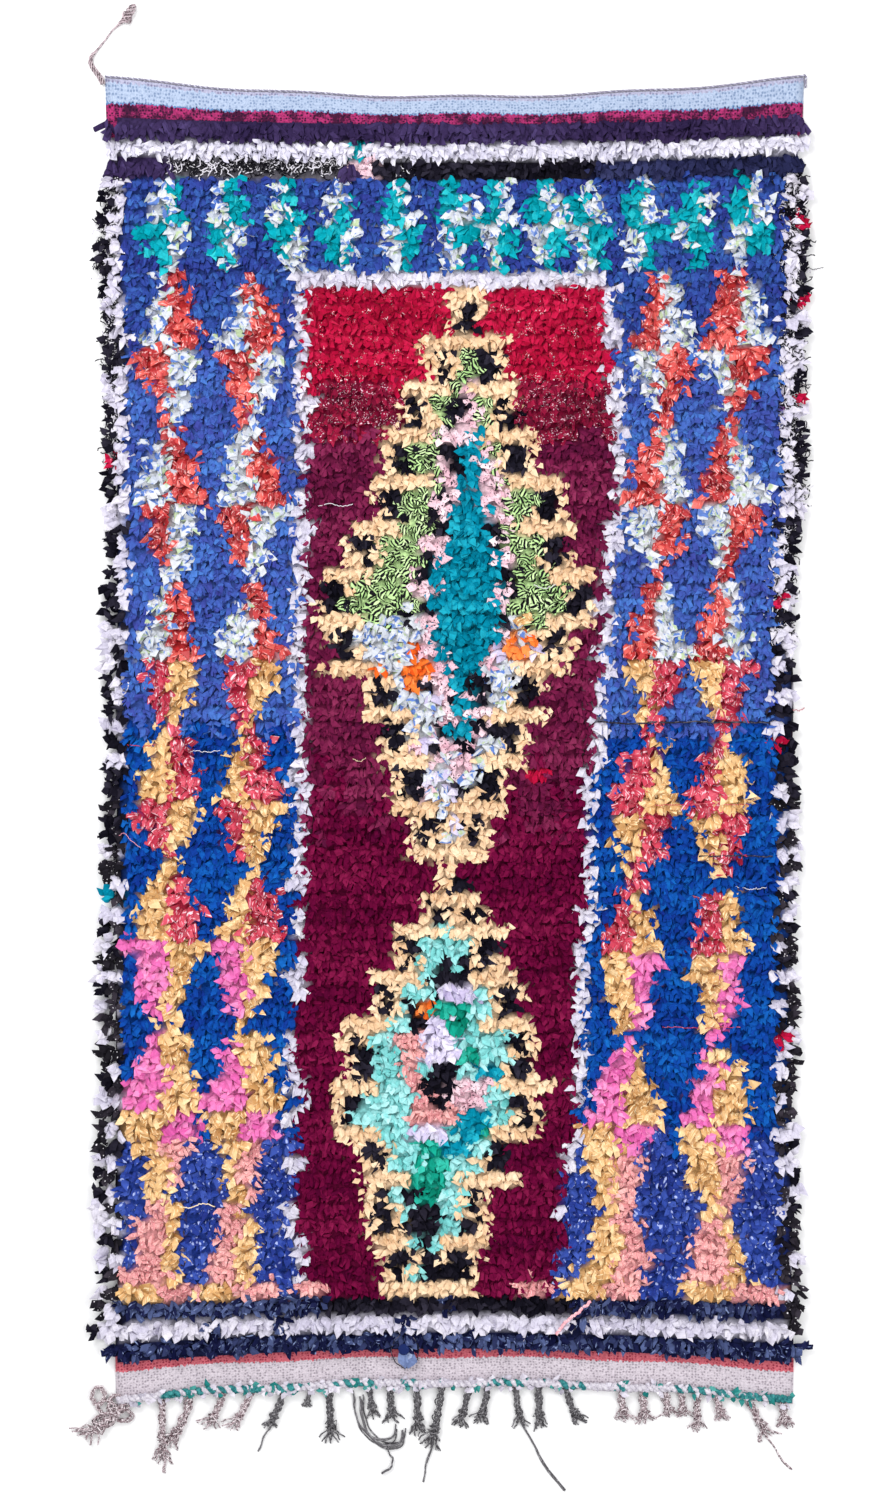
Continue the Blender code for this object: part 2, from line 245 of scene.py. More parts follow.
LEFT_COLUMNS = (
    # row, outer column, inner column
    (0.0, -0.545, -0.389),
    (45.0, -0.548, -0.395),
    (60.0, -0.560, -0.410),
    (66.0, -0.554, -0.412),
    (72.0, -0.556, -0.414),
)
RIGHT_COLUMNS = (
    # row, inner column, outer column
    (8.0, 0.406, 0.545),
    (18.0, 0.397, 0.530),
    (34.0, 0.385, 0.518),
    (46.0, 0.345, 0.512),
    (56.0, 0.335, 0.507),
    (65.0, 0.306, 0.502),
    (68.0, 0.316, 0.519),
    (69.9, 0.316, 0.523),
    (70.4, 0.296, 0.523),
    (72.0, 0.296, 0.523),
)
LEFT_HALVES = (
    # first row, last row, half width at the start and the end, rag on the left, rag on the right
    (6.0, 11.1, 0.012, 0.062, "white_floral", "red_satin"),
    (11.1, 15.6, 0.064, 0.018, "red_satin", "white_floral"),
    (15.8, 20.6, 0.016, 0.064, "white_floral", "red_satin"),
    (20.6, 25.4, 0.066, 0.018, "red_satin", "white_floral"),
    (25.8, 30.6, 0.014, 0.060, "white_floral", "red_satin"),
    (30.6, 34.9, 0.058, 0.018, "mottled_red", "ochre_satin"),
    (35.4, 40.3, 0.020, 0.068, "ochre_satin", "mottled_red"),
    (40.3, 44.2, 0.064, 0.018, "mottled_red", "ochre_satin"),
    (44.6, 48.9, 0.026, 0.064, "ochre_satin", "mottled_red"),
    (48.9, 53.8, 0.070, 0.024, "pink_jersey", "ochre_satin"),
    (54.8, 59.9, 0.028, 0.078, "pink_jersey", "ochre_satin"),
    (59.9, 62.3, 0.076, 0.058, "ochre_satin", "pink_jersey"),
    (62.3, 65.6, 0.046, 0.020, "ochre_satin", "salmon_fleece"),
    (66.0, 70.8, 0.036, 0.062, "salmon_fleece", "ochre_satin"),
    (70.8, 72.0, 0.076, 0.080, "ochre_satin", "salmon_fleece"),
)
RIGHT_HALVES = (
    # first row, last row, half width at the start and the end, rag on the left, rag on the right
    (5.8, 10.7, 0.012, 0.062, "red_satin", "white_floral"),
    (10.7, 15.3, 0.064, 0.018, "white_floral", "red_satin"),
    (15.8, 20.6, 0.016, 0.066, "red_satin", "white_floral"),
    (20.6, 25.3, 0.064, 0.018, "white_floral", "red_satin"),
    (26.0, 30.8, 0.016, 0.060, "red_satin", "white_floral"),
    (30.8, 35.2, 0.062, 0.020, "ochre_satin", "mottled_red"),
    (36.0, 40.7, 0.020, 0.068, "mottled_red", "ochre_satin"),
    (40.7, 45.0, 0.062, 0.018, "ochre_satin", "mottled_red"),
    (45.6, 50.2, 0.022, 0.062, "mottled_red", "ochre_satin"),
    (50.2, 55.2, 0.062, 0.022, "ochre_satin", "pink_jersey"),
    (56.0, 60.8, 0.024, 0.076, "pink_jersey", "ochre_satin"),
    (60.8, 63.4, 0.068, 0.056, "ochre_satin", "pink_jersey"),
    (63.4, 66.8, 0.058, 0.026, "ochre_satin", "salmon_fleece"),
    (67.2, 71.2, 0.034, 0.090, "salmon_fleece", "ochre_satin"),
    (71.2, 72.0, 0.092, 0.092, "ochre_satin", "salmon_fleece"),
)
# The top band's lozenges are six rows high. Those left of TURNS have their two rags the other way
TOP_BAND_MIDDLES = (-0.551, -0.437, -0.317, -0.221, -0.105, 0.003, 0.086, 0.177, 0.258, 0.364, 0.464, 0.561)
TOP_BAND_TURNS = -0.16
TOP_BAND_HALVES = (0.016, 0.029, 0.038, 0.039, 0.031, 0.017)

# What is tied inside the lower medallion, patch by patch, on a ground of mint
LOWER_FILL = (
    # middle row, rows either way, middle across, width either way, rag
    (50.5, 0.6, -0.012, 0.010, "black_jersey"),
    (50.5, 0.6, 0.020, 0.010, "black_jersey"),
    (51.5, 0.6, -0.012, 0.034, "black_jersey"),
    (52.5, 0.6, -0.038, 0.012, "black_jersey"),
    (53.8, 1.2, -0.066, 0.019, "black_jersey"),
    (55.8, 1.0, -0.060, 0.009, "black_jersey"),
    (52.5, 0.6, 0.008, 0.030, "lilac_jersey"),
    (53.9, 1.2, -0.008, 0.028, "sea_green"),
    (53.5, 0.6, -0.046, 0.009, "orange_jersey"),
    (56.0, 1.6, -0.026, 0.034, "lilac_jersey"),
    (56.5, 0.6, 0.026, 0.026, "sea_green"),
    (55.5, 0.6, -0.088, 0.022, "salmon_fleece"),
    (57.2, 1.4, -0.080, 0.020, "salmon_fleece"),
    (59.0, 1.4, -0.068, 0.020, "salmon_fleece"),
    (60.4, 0.8, -0.030, 0.044, "salmon_fleece"),
    (58.3, 1.5, -0.020, 0.031, "black_jersey"),
    (57.5, 0.8, 0.062, 0.014, "teal_jersey"),
    (59.2, 1.5, 0.034, 0.036, "pale_crinkle"),
    (61.6, 0.9, -0.042, 0.033, "lilac_jersey"),
    (61.2, 0.9, 0.036, 0.032, "teal_jersey"),
    (62.4, 0.7, 0.002, 0.020, "teal_jersey"),
    (61.6, 0.6, 0.062, 0.014, "sea_green"),
    (64.1, 1.7, -0.044, 0.036, "sea_green"),
    (65.5, 0.6, -0.090, 0.012, "black_jersey"),
    (67.0, 1.4, -0.056, 0.036, "black_jersey"),
    (69.9, 1.6, -0.048, 0.014, "black_jersey"),
    (70.5, 0.6, -0.020, 0.010, "black_jersey"),
)
# The last half lozenges of the inner column on the right have their two rags the other way
RIGHT_INNER_FOOT = (
    # first row, last row, half width at the start and the end, rag on the left, rag on the right
    (67.2, 70.2, 0.036, 0.062, "ochre_satin", "salmon_fleece"),
    (70.2, 72.0, 0.066, 0.082, "ochre_satin", "salmon_fleece"),
)
# How many side knots are black: above the row where the sides turn to stripes, then below it in
# odd rows and in even rows
SIDES_TURN = 26
INNER_DARK = (0.12, 0.25, 0.85)
OUTER_DARK = (0.85, 0.40, 0.90)
# The two edges wander in and out along the rug, and take the last few knots with them
SELVEDGE_FROM, SELVEDGE_TO = 0.555, 0.630
SELVEDGE_SHIFT = (
    # row, left edge and right edge outwards
    (-3.0, 0.014, 0.011),
    (-1.0, 0.006, 0.008),
    (2.5, 0.014, 0.010),
    (5.0, 0.020, 0.012),
    (9.0, 0.010, 0.008),
    (15.0, 0.004, 0.002),
    (20.8, 0.004, 0.008),
    (23.5, 0.000, -0.012),
    (30.0, 0.010, -0.016),
    (38.0, 0.007, -0.014),
    (43.0, 0.012, -0.004),
    (46.5, 0.010, -0.012),
    (51.8, 0.022, -0.010),
    (57.0, 0.012, -0.006),
    (60.0, 0.016, -0.016),
    (65.0, 0.028, -0.004),
    (69.5, 0.016, 0.000),
    (72.5, 0.028, 0.006),
    (73.5, 0.036, -0.004),
    (74.5, 0.003, 0.008),
    (75.0, 0.003, 0.010),
)
PLAIN_ROWS = (
    # row, from and to across, from and to in each knot's random number, rag
    (-2.5, -1.0, 1.0, 0.0, 1.0, "navy_jersey"),
    (-1.5, -1.0, 1.0, 0.0, 1.0, "white_cotton"),
    (-0.5, -1.0, 1.0, 0.0, 1.0, "navy_jersey"),
    (-0.5, 0.20, 1.0, 0.0, 1.0, "midnight_jersey"),
    (-0.5, -0.18, 0.28, 0.0, 1.0, "black_jersey"),
    (-0.5, -0.555, -0.215, 0.0, 1.0, "salted_yarn"),
    (-0.5, -0.10, 0.02, 0.0, 0.45, "salted_yarn"),
    (72.5, -1.0, 1.0, 0.0, 1.0, "denim"),
    (72.5, -0.24, 0.28, 0.0, 0.8, "black_jersey"),
    (73.5, -1.0, 1.0, 0.0, 1.0, "denim"),
    (73.5, -1.0, 1.0, 0.08, 1.0, "white_jersey"),
    (74.5, -1.0, 1.0, 0.0, 1.0, "denim"),
)
# Single tufts tied from another rag, where the weaver ran out or slipped one in
SLIPPED_IN = (
    # row, across, rows either way, width either way, rag
    (-1.5, -0.180, 0.6, 0.012, "turquoise_jersey"),
    (-0.5, -0.178, 0.6, 0.026, "pale_crinkle"),
    (38.6, 0.152, 0.6, 0.020, "bright_red"),
    (71.5, -0.276, 0.9, 0.020, "salmon_fleece"),
    (66.5, -0.651, 0.6, 0.009, "white_jersey"),
    (67.5, -0.632, 0.6, 0.009, "white_jersey"),
    (69.5, -0.642, 0.6, 0.018, "white_jersey"),
    (71.5, -0.651, 0.6, 0.009, "white_jersey"),
    (72.5, -0.651, 0.6, 0.009, "pinned_black"),
    (72.5, -0.632, 0.6, 0.009, "white_jersey"),
    (73.5, -0.651, 0.6, 0.009, "black_jersey"),
    (73.5, -0.632, 0.6, 0.009, "white_jersey"),
    (72.5, 0.640, 0.6, 0.020, "pinned_black"),
    (73.5, 0.651, 0.6, 0.010, "pinned_black"),
    (71.5, 0.651, 0.6, 0.010, "pinned_black"),
    (71.5, 0.146, 0.9, 0.034, "salmon_fleece"),
    (28.4, 0.124, 0.6, 0.010, "ochre_satin"),
    (3.9, 0.650, 0.6, 0.014, "bright_red"),
    (8.6, 0.650, 0.6, 0.010, "bright_red"),
    (14.6, 0.650, 0.6, 0.010, "bright_red"),
    (27.5, 0.632, 0.6, 0.010, "bright_red"),
    (36.6, 0.632, 0.6, 0.010, "bright_red"),
    (18.5, -0.650, 0.6, 0.010, "bright_red"),
    (46.5, -0.650, 0.6, 0.010, "teal_jersey"),
    (55.5, 0.632, 0.6, 0.010, "bright_red"),
    (30.5, 0.118, 0.6, 0.012, "orange_jersey"),
    (45.5, 0.008, 0.7, 0.012, "black_jersey"),
    (45.5, -0.014, 0.7, 0.012, "cream_jersey"),
)


def bands(row, table):
    """The rag of each row, from a table of the last row that each rag is tied in."""
    found = np.full(row.shape, table[-1][1], "U16")
    for last, rag in reversed(table[:-1]):
        found[row < last] = rag
    return found


def halves(cloth, row, x, middle, table):
    """Ties a column of half lozenges about its middle: each half swaps the two rags over."""
    aside = x - middle
    for first, last, start, end, left_rag, right_rag in table:
        reach = start + (end - start) * (row - first) / (last - first)
        # Where fleece is on the left, the satin beside it is narrow
        beside = 0.5 if left_rag == "salmon_fleece" else 1.0
        inside = (row >= first) & (row < last) & (aside > -reach) & (aside < reach * beside)
        cloth[inside & (aside < 0)] = left_rag
        cloth[inside & (aside >= 0)] = right_rag
        neck = (row >= last) & (row < last + 1.0) & (abs(aside) < 0.011) & (end < 0.03)
        cloth[neck] = right_rag


def steps(cloth, row, x, table, fill):
    """Ties a stepped medallion: a cream bar, then two rows with a black spot held in cream."""
    table = np.array(table)
    near = np.abs(row[..., None] - table[:, 0]).argmin(-1)
    in_bar = abs(row - table[near, 0]) < BAR_HALF_ROW
    above = np.clip(np.searchsorted(table[:, 0], row, side="right") - 1, 0, len(table) - 2)
    narrow = np.where(table[above, 2] < table[above + 1, 2], above, above + 1)
    chosen = np.where(in_bar, near, narrow)
    depth = table[chosen, 2] - abs(x - table[chosen, 1])
    inside = (row > table[0, 0] - 0.6) & (row < table[-1, 0] + 0.3) & (depth > 0)
    hollow = depth > np.where(in_bar, STEP_BAR_LENGTH, STEP_INNER)
    spot = ~in_bar & (depth > STEP_RIM) & (depth < STEP_SPOT)
    cloth[inside] = "cream_jersey"
    cloth[inside & hollow] = fill[inside & hollow]
    cloth[inside & spot] = "black_jersey"


TEAL_LOZENGE = (
    # row, middle, half width
    (15.8, 0.022, 0.000),
    (16.4, 0.024, 0.010),
    (18.6, 0.028, 0.012),
    (19.6, 0.032, 0.022),
    (21.4, 0.029, 0.031),
    (23.3, 0.026, 0.044),
    (25.3, 0.026, 0.066),
    (28.5, 0.024, 0.058),
    (29.8, 0.018, 0.051),
    (31.1, 0.012, 0.034),
    (32.4, 0.012, 0.028),
    (33.0, 0.024, 0.014),
    (35.6, 0.010, 0.011),
    (36.4, 0.010, 0.000),
)
ODD_AMONG_PRINTS = (
    # first row, from and to in each knot's random number, rag
    (31.0, 0.00, 0.13, "pale_crinkle"),
    (27.0, 0.86, 0.93, "lilac_jersey"),
    (27.0, 0.93, 1.00, "black_jersey"),
)
CRINKLED_RING = (
    # row, width
    (12.9, 0.000),
    (14.0, 0.026),
    (19.0, 0.042),
    (25.0, 0.036),
    (31.0, 0.026),
    (36.0, 0.034),
    (40.0, 0.000),
)


def upper_fill(row, x, chance):
    """Inside the upper medallion: a teal lozenge in a crinkled ring, zebra above, prints below."""
    rows, middles, halves_wide = np.array(TEAL_LOZENGE).T
    aside = x - np.interp(row, rows, middles)
    teal = np.interp(row, rows, halves_wide)
    rag = np.full(row.shape, "zebra_print", "U16")
    low = row > 27.4 + (chance - 0.5) * 1.5 + (abs(x) > 0.12) * 1.2
    rag[low] = "white_floral"
    for first_row, least, most, odd_rag in ODD_AMONG_PRINTS:
        rag[low & (row > first_row) & (chance >= least) & (chance < most)] = odd_rag
    accent = (x < -0.04) & (row > 30.4) & (row < 32.6) | (x > 0.10) & (row > 29.4) & (row < 30.6)
    rag[low & accent & (chance < 0.5)] = "orange_jersey"
    ring_rows, ring_wide = np.array(CRINKLED_RING).T
    ring_wide = np.interp(row, ring_rows, ring_wide)
    ring = abs(aside) < teal + ring_wide * np.where(aside < 0, 1.1, 0.9)
    rag[ring] = "pale_crinkle"
    rag[ring & (chance < 0.27)] = "black_jersey"
    rag[(row > 32.5) & (row < 37.5) & (abs(x - 0.010) < 0.010)] = "black_jersey"
    rag[abs(aside) < teal] = "teal_jersey"
    return rag


def tied(row, x, chance):
    """The rag of every knot, from its row, its place across, and a random number of its own."""
    cloth = bands(row + (chance - 0.5) * BLUES_MIX, BLUES)
    for columns, table in ((LEFT_COLUMNS, LEFT_HALVES), (RIGHT_COLUMNS, RIGHT_HALVES)):
        rows, outer, inner = np.array(columns).T
        halves(cloth, row, x, np.interp(row, rows, outer), table)
        halves(cloth, row, x, np.interp(row, rows, inner), table)
    # The foot of the inner column on the right is tied over the blue once more
    foot = (row > RIGHT_INNER_FOOT[0][0]) & (abs(x - 0.30) < 0.115)
    cloth[foot] = bands(row, BLUES)[foot]
    halves(cloth, row, x, np.interp(row, rows, outer), RIGHT_INNER_FOOT)
    band_row = np.clip(np.floor(row), 0, 5).astype(int)
    for middle in TOP_BAND_MIDDLES:
        aside = x - middle
        inside = (row >= 0) & (row < 6) & (abs(aside) < np.array(TOP_BAND_HALVES)[band_row])
        turned = (row >= 3) != (middle > TOP_BAND_TURNS)
        cloth[inside] = "white_floral"
        cloth[inside & np.where(turned, aside < 0, aside > 0)] = "turquoise_jersey"
    rows, left, right = np.array(PANEL_SIDES).T
    left, right = np.interp(row, rows, left), np.interp(row, rows, right)
    panel = (row > PANEL_TOP_ROW) & (x > left) & (x < right)
    reds = bands(row + (chance - 0.5) * np.where(row > 30, LOWER_REDS_MIX, REDS_MIX), PANEL_REDS)
    cloth[panel] = reds[panel]
    edge_width = KNOT_PITCH * np.where(row < 40, PANEL_EDGE, LOWER_PANEL_EDGE)
    edge = np.minimum(abs(x - left), abs(x - right)) < edge_width
    top = (abs(row - PANEL_TOP_ROW + 0.5) < 0.3) & (x > left) & (x < right)
    sparse = (row > 68) & (x > 0) | (row > 60) & (chance < 0.45)
    cloth[(row > PANEL_TOP_ROW - 1) & edge & ~sparse | top] = "white_jersey"
    steps(cloth, row, x, UPPER_MEDALLION, upper_fill(row, x, chance))
    fill = np.full(row.shape, "mint_jersey", "U16")
    for middle_row, rows_either, middle, either, rag in LOWER_FILL:
        away = ((row - middle_row) / rows_either) ** 2 + ((x - middle) / either) ** 2
        fill[away < 1.1] = rag
    steps(cloth, row, x, LOWER_MEDALLION, fill)
    return plain_rows(cloth, row, x, chance)


def plain_rows(cloth, row, x, chance):
    """The border: three plain rows at each end, two knots down each side, and stray tufts."""
    side = RUG_HALF_WIDTH - abs(x)
    in_field = (row > 0) & (row < FIELD_ROWS)
    inner = (side < 2 * KNOT_PITCH) & in_field
    outer = (side < KNOT_PITCH) & in_field
    odd = np.floor(row) % 2 == 1
    black = np.where((row > 40) & (chance < 0.7), "pinned_black", "black_jersey")
    cloth[inner] = "white_jersey"
    for column, (early, in_odd_rows, in_even_rows) in ((inner, INNER_DARK), (outer, OUTER_DARK)):
        share = np.where(row < SIDES_TURN, early, np.where(odd, in_odd_rows, in_even_rows))
        dark = column & (share > (chance * 7) % 1)
        cloth[dark] = black[dark]
    cloth[outer & (row < SIDES_TURN) & (chance > 0.75)] = "white_jersey"
    for middle_row, left, right, low, high, rag in PLAIN_ROWS:
        within = (row == middle_row) & (x > left) & (x < right)
        cloth[within & (chance >= low) & (chance < high)] = rag
    for middle_row, middle, rows_either, either, rag in SLIPPED_IN:
        cloth[(abs(row - middle_row) < rows_either) & (abs(x - middle) < either)] = rag
    return cloth


def row_line(row):
    """How far along the rug a row lies, at its middle across."""
    edges = (-BORDER_ROWS, 0, FIELD_ROWS, FIELD_ROWS + BORDER_ROWS)
    top = FIELD_TOP + BORDER_ROWS * TOP_BORDER_PITCH
    foot = FIELD_TOP - FIELD_ROWS * FIELD_PITCH
    lines = (top, FIELD_TOP, foot, foot - BORDER_ROWS * LOWER_BORDER_PITCH)
    return np.interp(row, edges, lines)


WEFT_BOW = (
    # along the rug, rise at its two sides
    (-1.30, -0.036),
    (-1.17, -0.027),
    (-1.08, -0.015),
    (-0.90, 0.000),
    (0.00, 0.000),
    (0.90, 0.008),
    (1.20, 0.014),
    (1.24, 0.036),
    (1.30, 0.038),
)


def risen(x, y):
    """How far the wefts have bowed along the rug at (x, y)."""
    lines, rises = zip(*WEFT_BOW)
    return (x / RUG_HALF_WIDTH) ** 2 * np.interp(y, lines, rises)


# What each rag is dyed: its deepest strips, most of them, and its palest
DYES = {
    "navy_jersey": ("#281e3e", "#382b50", "#4c3f6c"),
    "denim": ("#0f1230", "#1e2246", "#505c86"),
    "white_jersey": ("#c1bcd0", "#cdc9d9", "#dad6e0"),
    "white_cotton": ("#c5c2d5", "#d3d0df", "#e0dde7"),
    "midnight_jersey": ("#181a34", "#26284a", "#383c64"),
    "black_jersey": ("#0e0d15", "#1a1822", "#302d3a"),
    "salted_yarn": ("#222027", "#5e5b64", "#949098"),
    "dusk_blue": ("#2e3380", "#314896", "#3e6ab2"),
    "violet_blue": ("#3c3f90", "#405aaa", "#4a7cc8"),
    "cobalt": ("#14287c", "#11459c", "#1866b8"),
    "dotted_blue": ("#1d2c79", "#284096", "#4058ac"),
    "pinned_black": ("#0d0b12", "#1d1922", "#38323c"),
    "turquoise_jersey": ("#02828e", "#0a9cac", "#30bcc4"),
    "teal_jersey": ("#026a84", "#0888a4", "#22a6bc"),
    "white_floral": ("#bcc2d0", "#ced2d9", "#dadae2"),
    "red_satin": ("#8a101e", "#be3133", "#ea6a60"),
    "ochre_satin": ("#ae7a42", "#dcac70", "#f0d09e"),
    "mottled_red": ("#981630", "#c02c48", "#d64c64"),
    "pink_jersey": ("#d058a0", "#e478b6", "#f09cca"),
    "salmon_fleece": ("#c87c82", "#e0989a", "#f0b4b0"),
    "bright_red": ("#900528", "#ae0a38", "#c41c48"),
    "flecked_maroon": ("#580a26", "#800e32", "#a21c40"),
    "burgundy": ("#48102f", "#6c1a40", "#8c3258"),
    "wine": ("#450628", "#640a34", "#861c48"),
    "cream_jersey": ("#dab48c", "#ebcaa6", "#f5dab8"),
    "zebra_print": ("#a8d088", "#c4e6a0", "#dcf2bc"),
    "pale_crinkle": ("#dcaaba", "#ecc6d2", "#f6dee6"),
    "mint_jersey": ("#66bcba", "#8ad2d2", "#b2e6e6"),
    "sea_green": ("#0a7460", "#169c86", "#40c4b0"),
    "lilac_jersey": ("#b8acd0", "#d4cce6", "#ece6f6"),
    "orange_jersey": ("#e04c18", "#f27830", "#f8a060"),
}

chart_rng = np.random.default_rng(11)
knot_row, knot_place = np.meshgrid(
    np.arange(-BORDER_ROWS, FIELD_ROWS + BORDER_ROWS) + 0.5,
    np.arange(KNOTS_ACROSS) - (KNOTS_ACROSS - 1) / 2,
    indexing="ij",
)
knot_x = knot_place * KNOT_PITCH
knot_stray = chart_rng.normal(0, STRAY, knot_x.shape) * (abs(knot_place) < 33)
knot_rag = tied(knot_row, knot_x + knot_stray, chart_rng.random(knot_x.shape))
shift_rows, left_shift, right_shift = np.array(SELVEDGE_SHIFT).T
near_edge = np.clip((abs(knot_x) - SELVEDGE_FROM) / (SELVEDGE_TO - SELVEDGE_FROM), 0, 1)
left_out, right_out = (np.interp(knot_row, shift_rows, shift) for shift in (left_shift, right_shift))
knot_x = knot_x + near_edge * np.where(knot_x < 0, -left_out, right_out)
knot_y = row_line(knot_row)
# The rags hide some of the wefts' bow at the upper end
knot_y = knot_y + risen(knot_x, knot_y) * np.where(knot_y < 0, 1.0, np.where(knot_x < 0, 0.4, 1.2))

# The ground weave: wool and cotton wefts beaten down over warps, one flat cloth 3 mm thick. Its
# ends show as a light blue band with a magenta stripe, and an off-white band with a red stripe.

EDGE_WAVE = 0.0022
EDGE_WAVE_LENGTH = 0.31
HEADING_FLARE = 0.022
WEFT_RIB = 0.004
RIB_HEIGHT = 0.0004
GROUND_COLUMNS = 64
# Stripes of each end, from the pile outwards
LOWER_STRIPES = (
    # first line from the middle, deep colour, pale colour
    (1.1400, "#8e2c40", "#d06c78"),
    (1.1882, "#958b95", "#d3c9d2"),
)
UPPER_STRIPES = (
    (1.1400, "#240f28", "#b43470"),
    (1.2085, "#16243e", "#5f88b8"),
    (1.2106, "#7486a6", "#acbad2"),
    (1.2345, "#74728e", "#b0b0c8"),
)
STRIPES_FROM, STRIPES_TO = 1.14, 1.26
EDGE_STRAY = 0.0045
MAGENTA_MIDDLE, MAGENTA_HALF = 1.19, 0.0185
# The backs of the knots show up to here, and the cloth's two ends are at FOOT_LINE and TOP_LINE
BACKS_TO = 1.15
FOOT_LINE = -1.236
TOP_LINE = 1.240
# Undersides lie a hair above the floor's level
UNDERSIDE_LIFT = 0.0002
ground_low, ground_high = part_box("ground_weave")


def ground_half_width(y):
    """Half the cloth's width: it flares at the blue end and wavers a little."""
    share = np.clip((y - 1.02) / 0.18, 0, 1)
    wave = EDGE_WAVE * np.sin(2 * np.pi * y / EDGE_WAVE_LENGTH)
    return RUG_HALF_WIDTH + HEADING_FLARE * share * share * (3 - 2 * share) + wave


def woven_point(across, y):
    """Where a point of the straight cloth lies, across being -1 at the left edge to 1 at the right."""
    x = across * ground_half_width(y)
    wave = EDGE_WAVE * np.sin(2 * np.pi * x / EDGE_WAVE_LENGTH + y) * abs(y) / TOP_LINE
    return x, y + risen(x, y) + wave


def closed_sheet(top, underside):
    """The points and faces of a closed sheet: a grid of points over a level underside."""
    rows, columns = top.shape[:2]
    index = np.arange(rows * columns).reshape(rows, columns)
    upper = np.stack([index[:-1, :-1], index[:-1, 1:], index[1:, 1:], index[1:, :-1]], -1).reshape(-1, 4)
    lower = upper[:, ::-1] + rows * columns
    rim = np.concatenate([index[0, :-1], index[:-1, -1], index[-1, :0:-1], index[:0:-1, 0]])
    after = np.roll(rim, -1)
    wall = np.stack([after, rim, rim + rows * columns, after + rows * columns], -1)
    bottom = top * (1, 1, 0) + (0, 0, underside)
    points = np.concatenate([top.reshape(-1, 3), bottom.reshape(-1, 3)])
    return points, [np.concatenate([upper, lower, wall])]


def shades_at(x, y, depth):
    """The colour of the knot nearest to each point, times depth, for points over the pile. On the knot feet
    this darkening is painted shade where they show between the rags; the ground cloth's knot backs are
    darkened the same.
    """
    lines = row_line(np.arange(-BORDER_ROWS + 1, FIELD_ROWS + BORDER_ROWS))
    row = np.searchsorted(-lines, -y)
    place = np.clip(np.round(x / KNOT_PITCH + (KNOTS_ACROSS - 1) / 2), 0, KNOTS_ACROSS - 1).astype(int)
    colours = {rag: linear(shade) for rag, (_, shade, _) in DYES.items()}
    found = np.array([colours[rag] for rag in knot_rag[row, place].ravel()])
    return found * (depth, depth, depth, 1)


def stand_in(piece, node):
    """Puts a piece in the place of a node of the CAD model."""
    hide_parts(node)
    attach(piece, "root")


def noise(tree, vector, scale, detail=2.0, **more):
    """Cloudy noise over a vector, most of it between 0.3 and 0.7."""
    return add(tree, "TexNoise", {"Vector": vector, "Scale": scale, "Detail": detail, **more}).outputs[0]


def ranged(tree, value, low, high, start=0.0, end=1.0):
    """A value carried over from low and high to start and end, and held at both."""
    return add(tree, "MapRange", {0: value, 1: low, 2: high, 3: start, 4: end}).outputs[0]


def maths(tree, operation, *values):
    """One step of arithmetic on values or sockets."""
    return add(tree, "Math", dict(enumerate(values)), operation=operation).outputs[0]


def blended(tree, share, first, second):
    """The first colour where share is 0 and the second where it is 1."""
    return add(tree, "Mix", {0: share, 6: first, 7: second}, data_type="RGBA").outputs[2]


def bumped(tree, shader, height, strength, distance):
    """Lets a height tilt the shader's normal."""
    bump = add(tree, "Bump", {"Strength": strength, "Distance": distance, "Height": height})
    tree.links.new(bump.outputs[0], shader.inputs["Normal"])


def stripe_colours(tree, share, stripes, shade):
    """One shade of an end's stripes, by how far out a point is."""
    stops = []
    for stripe in stripes:
        place = (stripe[0] - STRIPES_FROM) / (STRIPES_TO - STRIPES_FROM)
        stops.append((place, stripe[shade]))
    ramp = add(tree, "ValToRGB", {0: share}, stops)
    ramp.color_ramp.interpolation = "CONSTANT"
    return ramp.outputs[0]


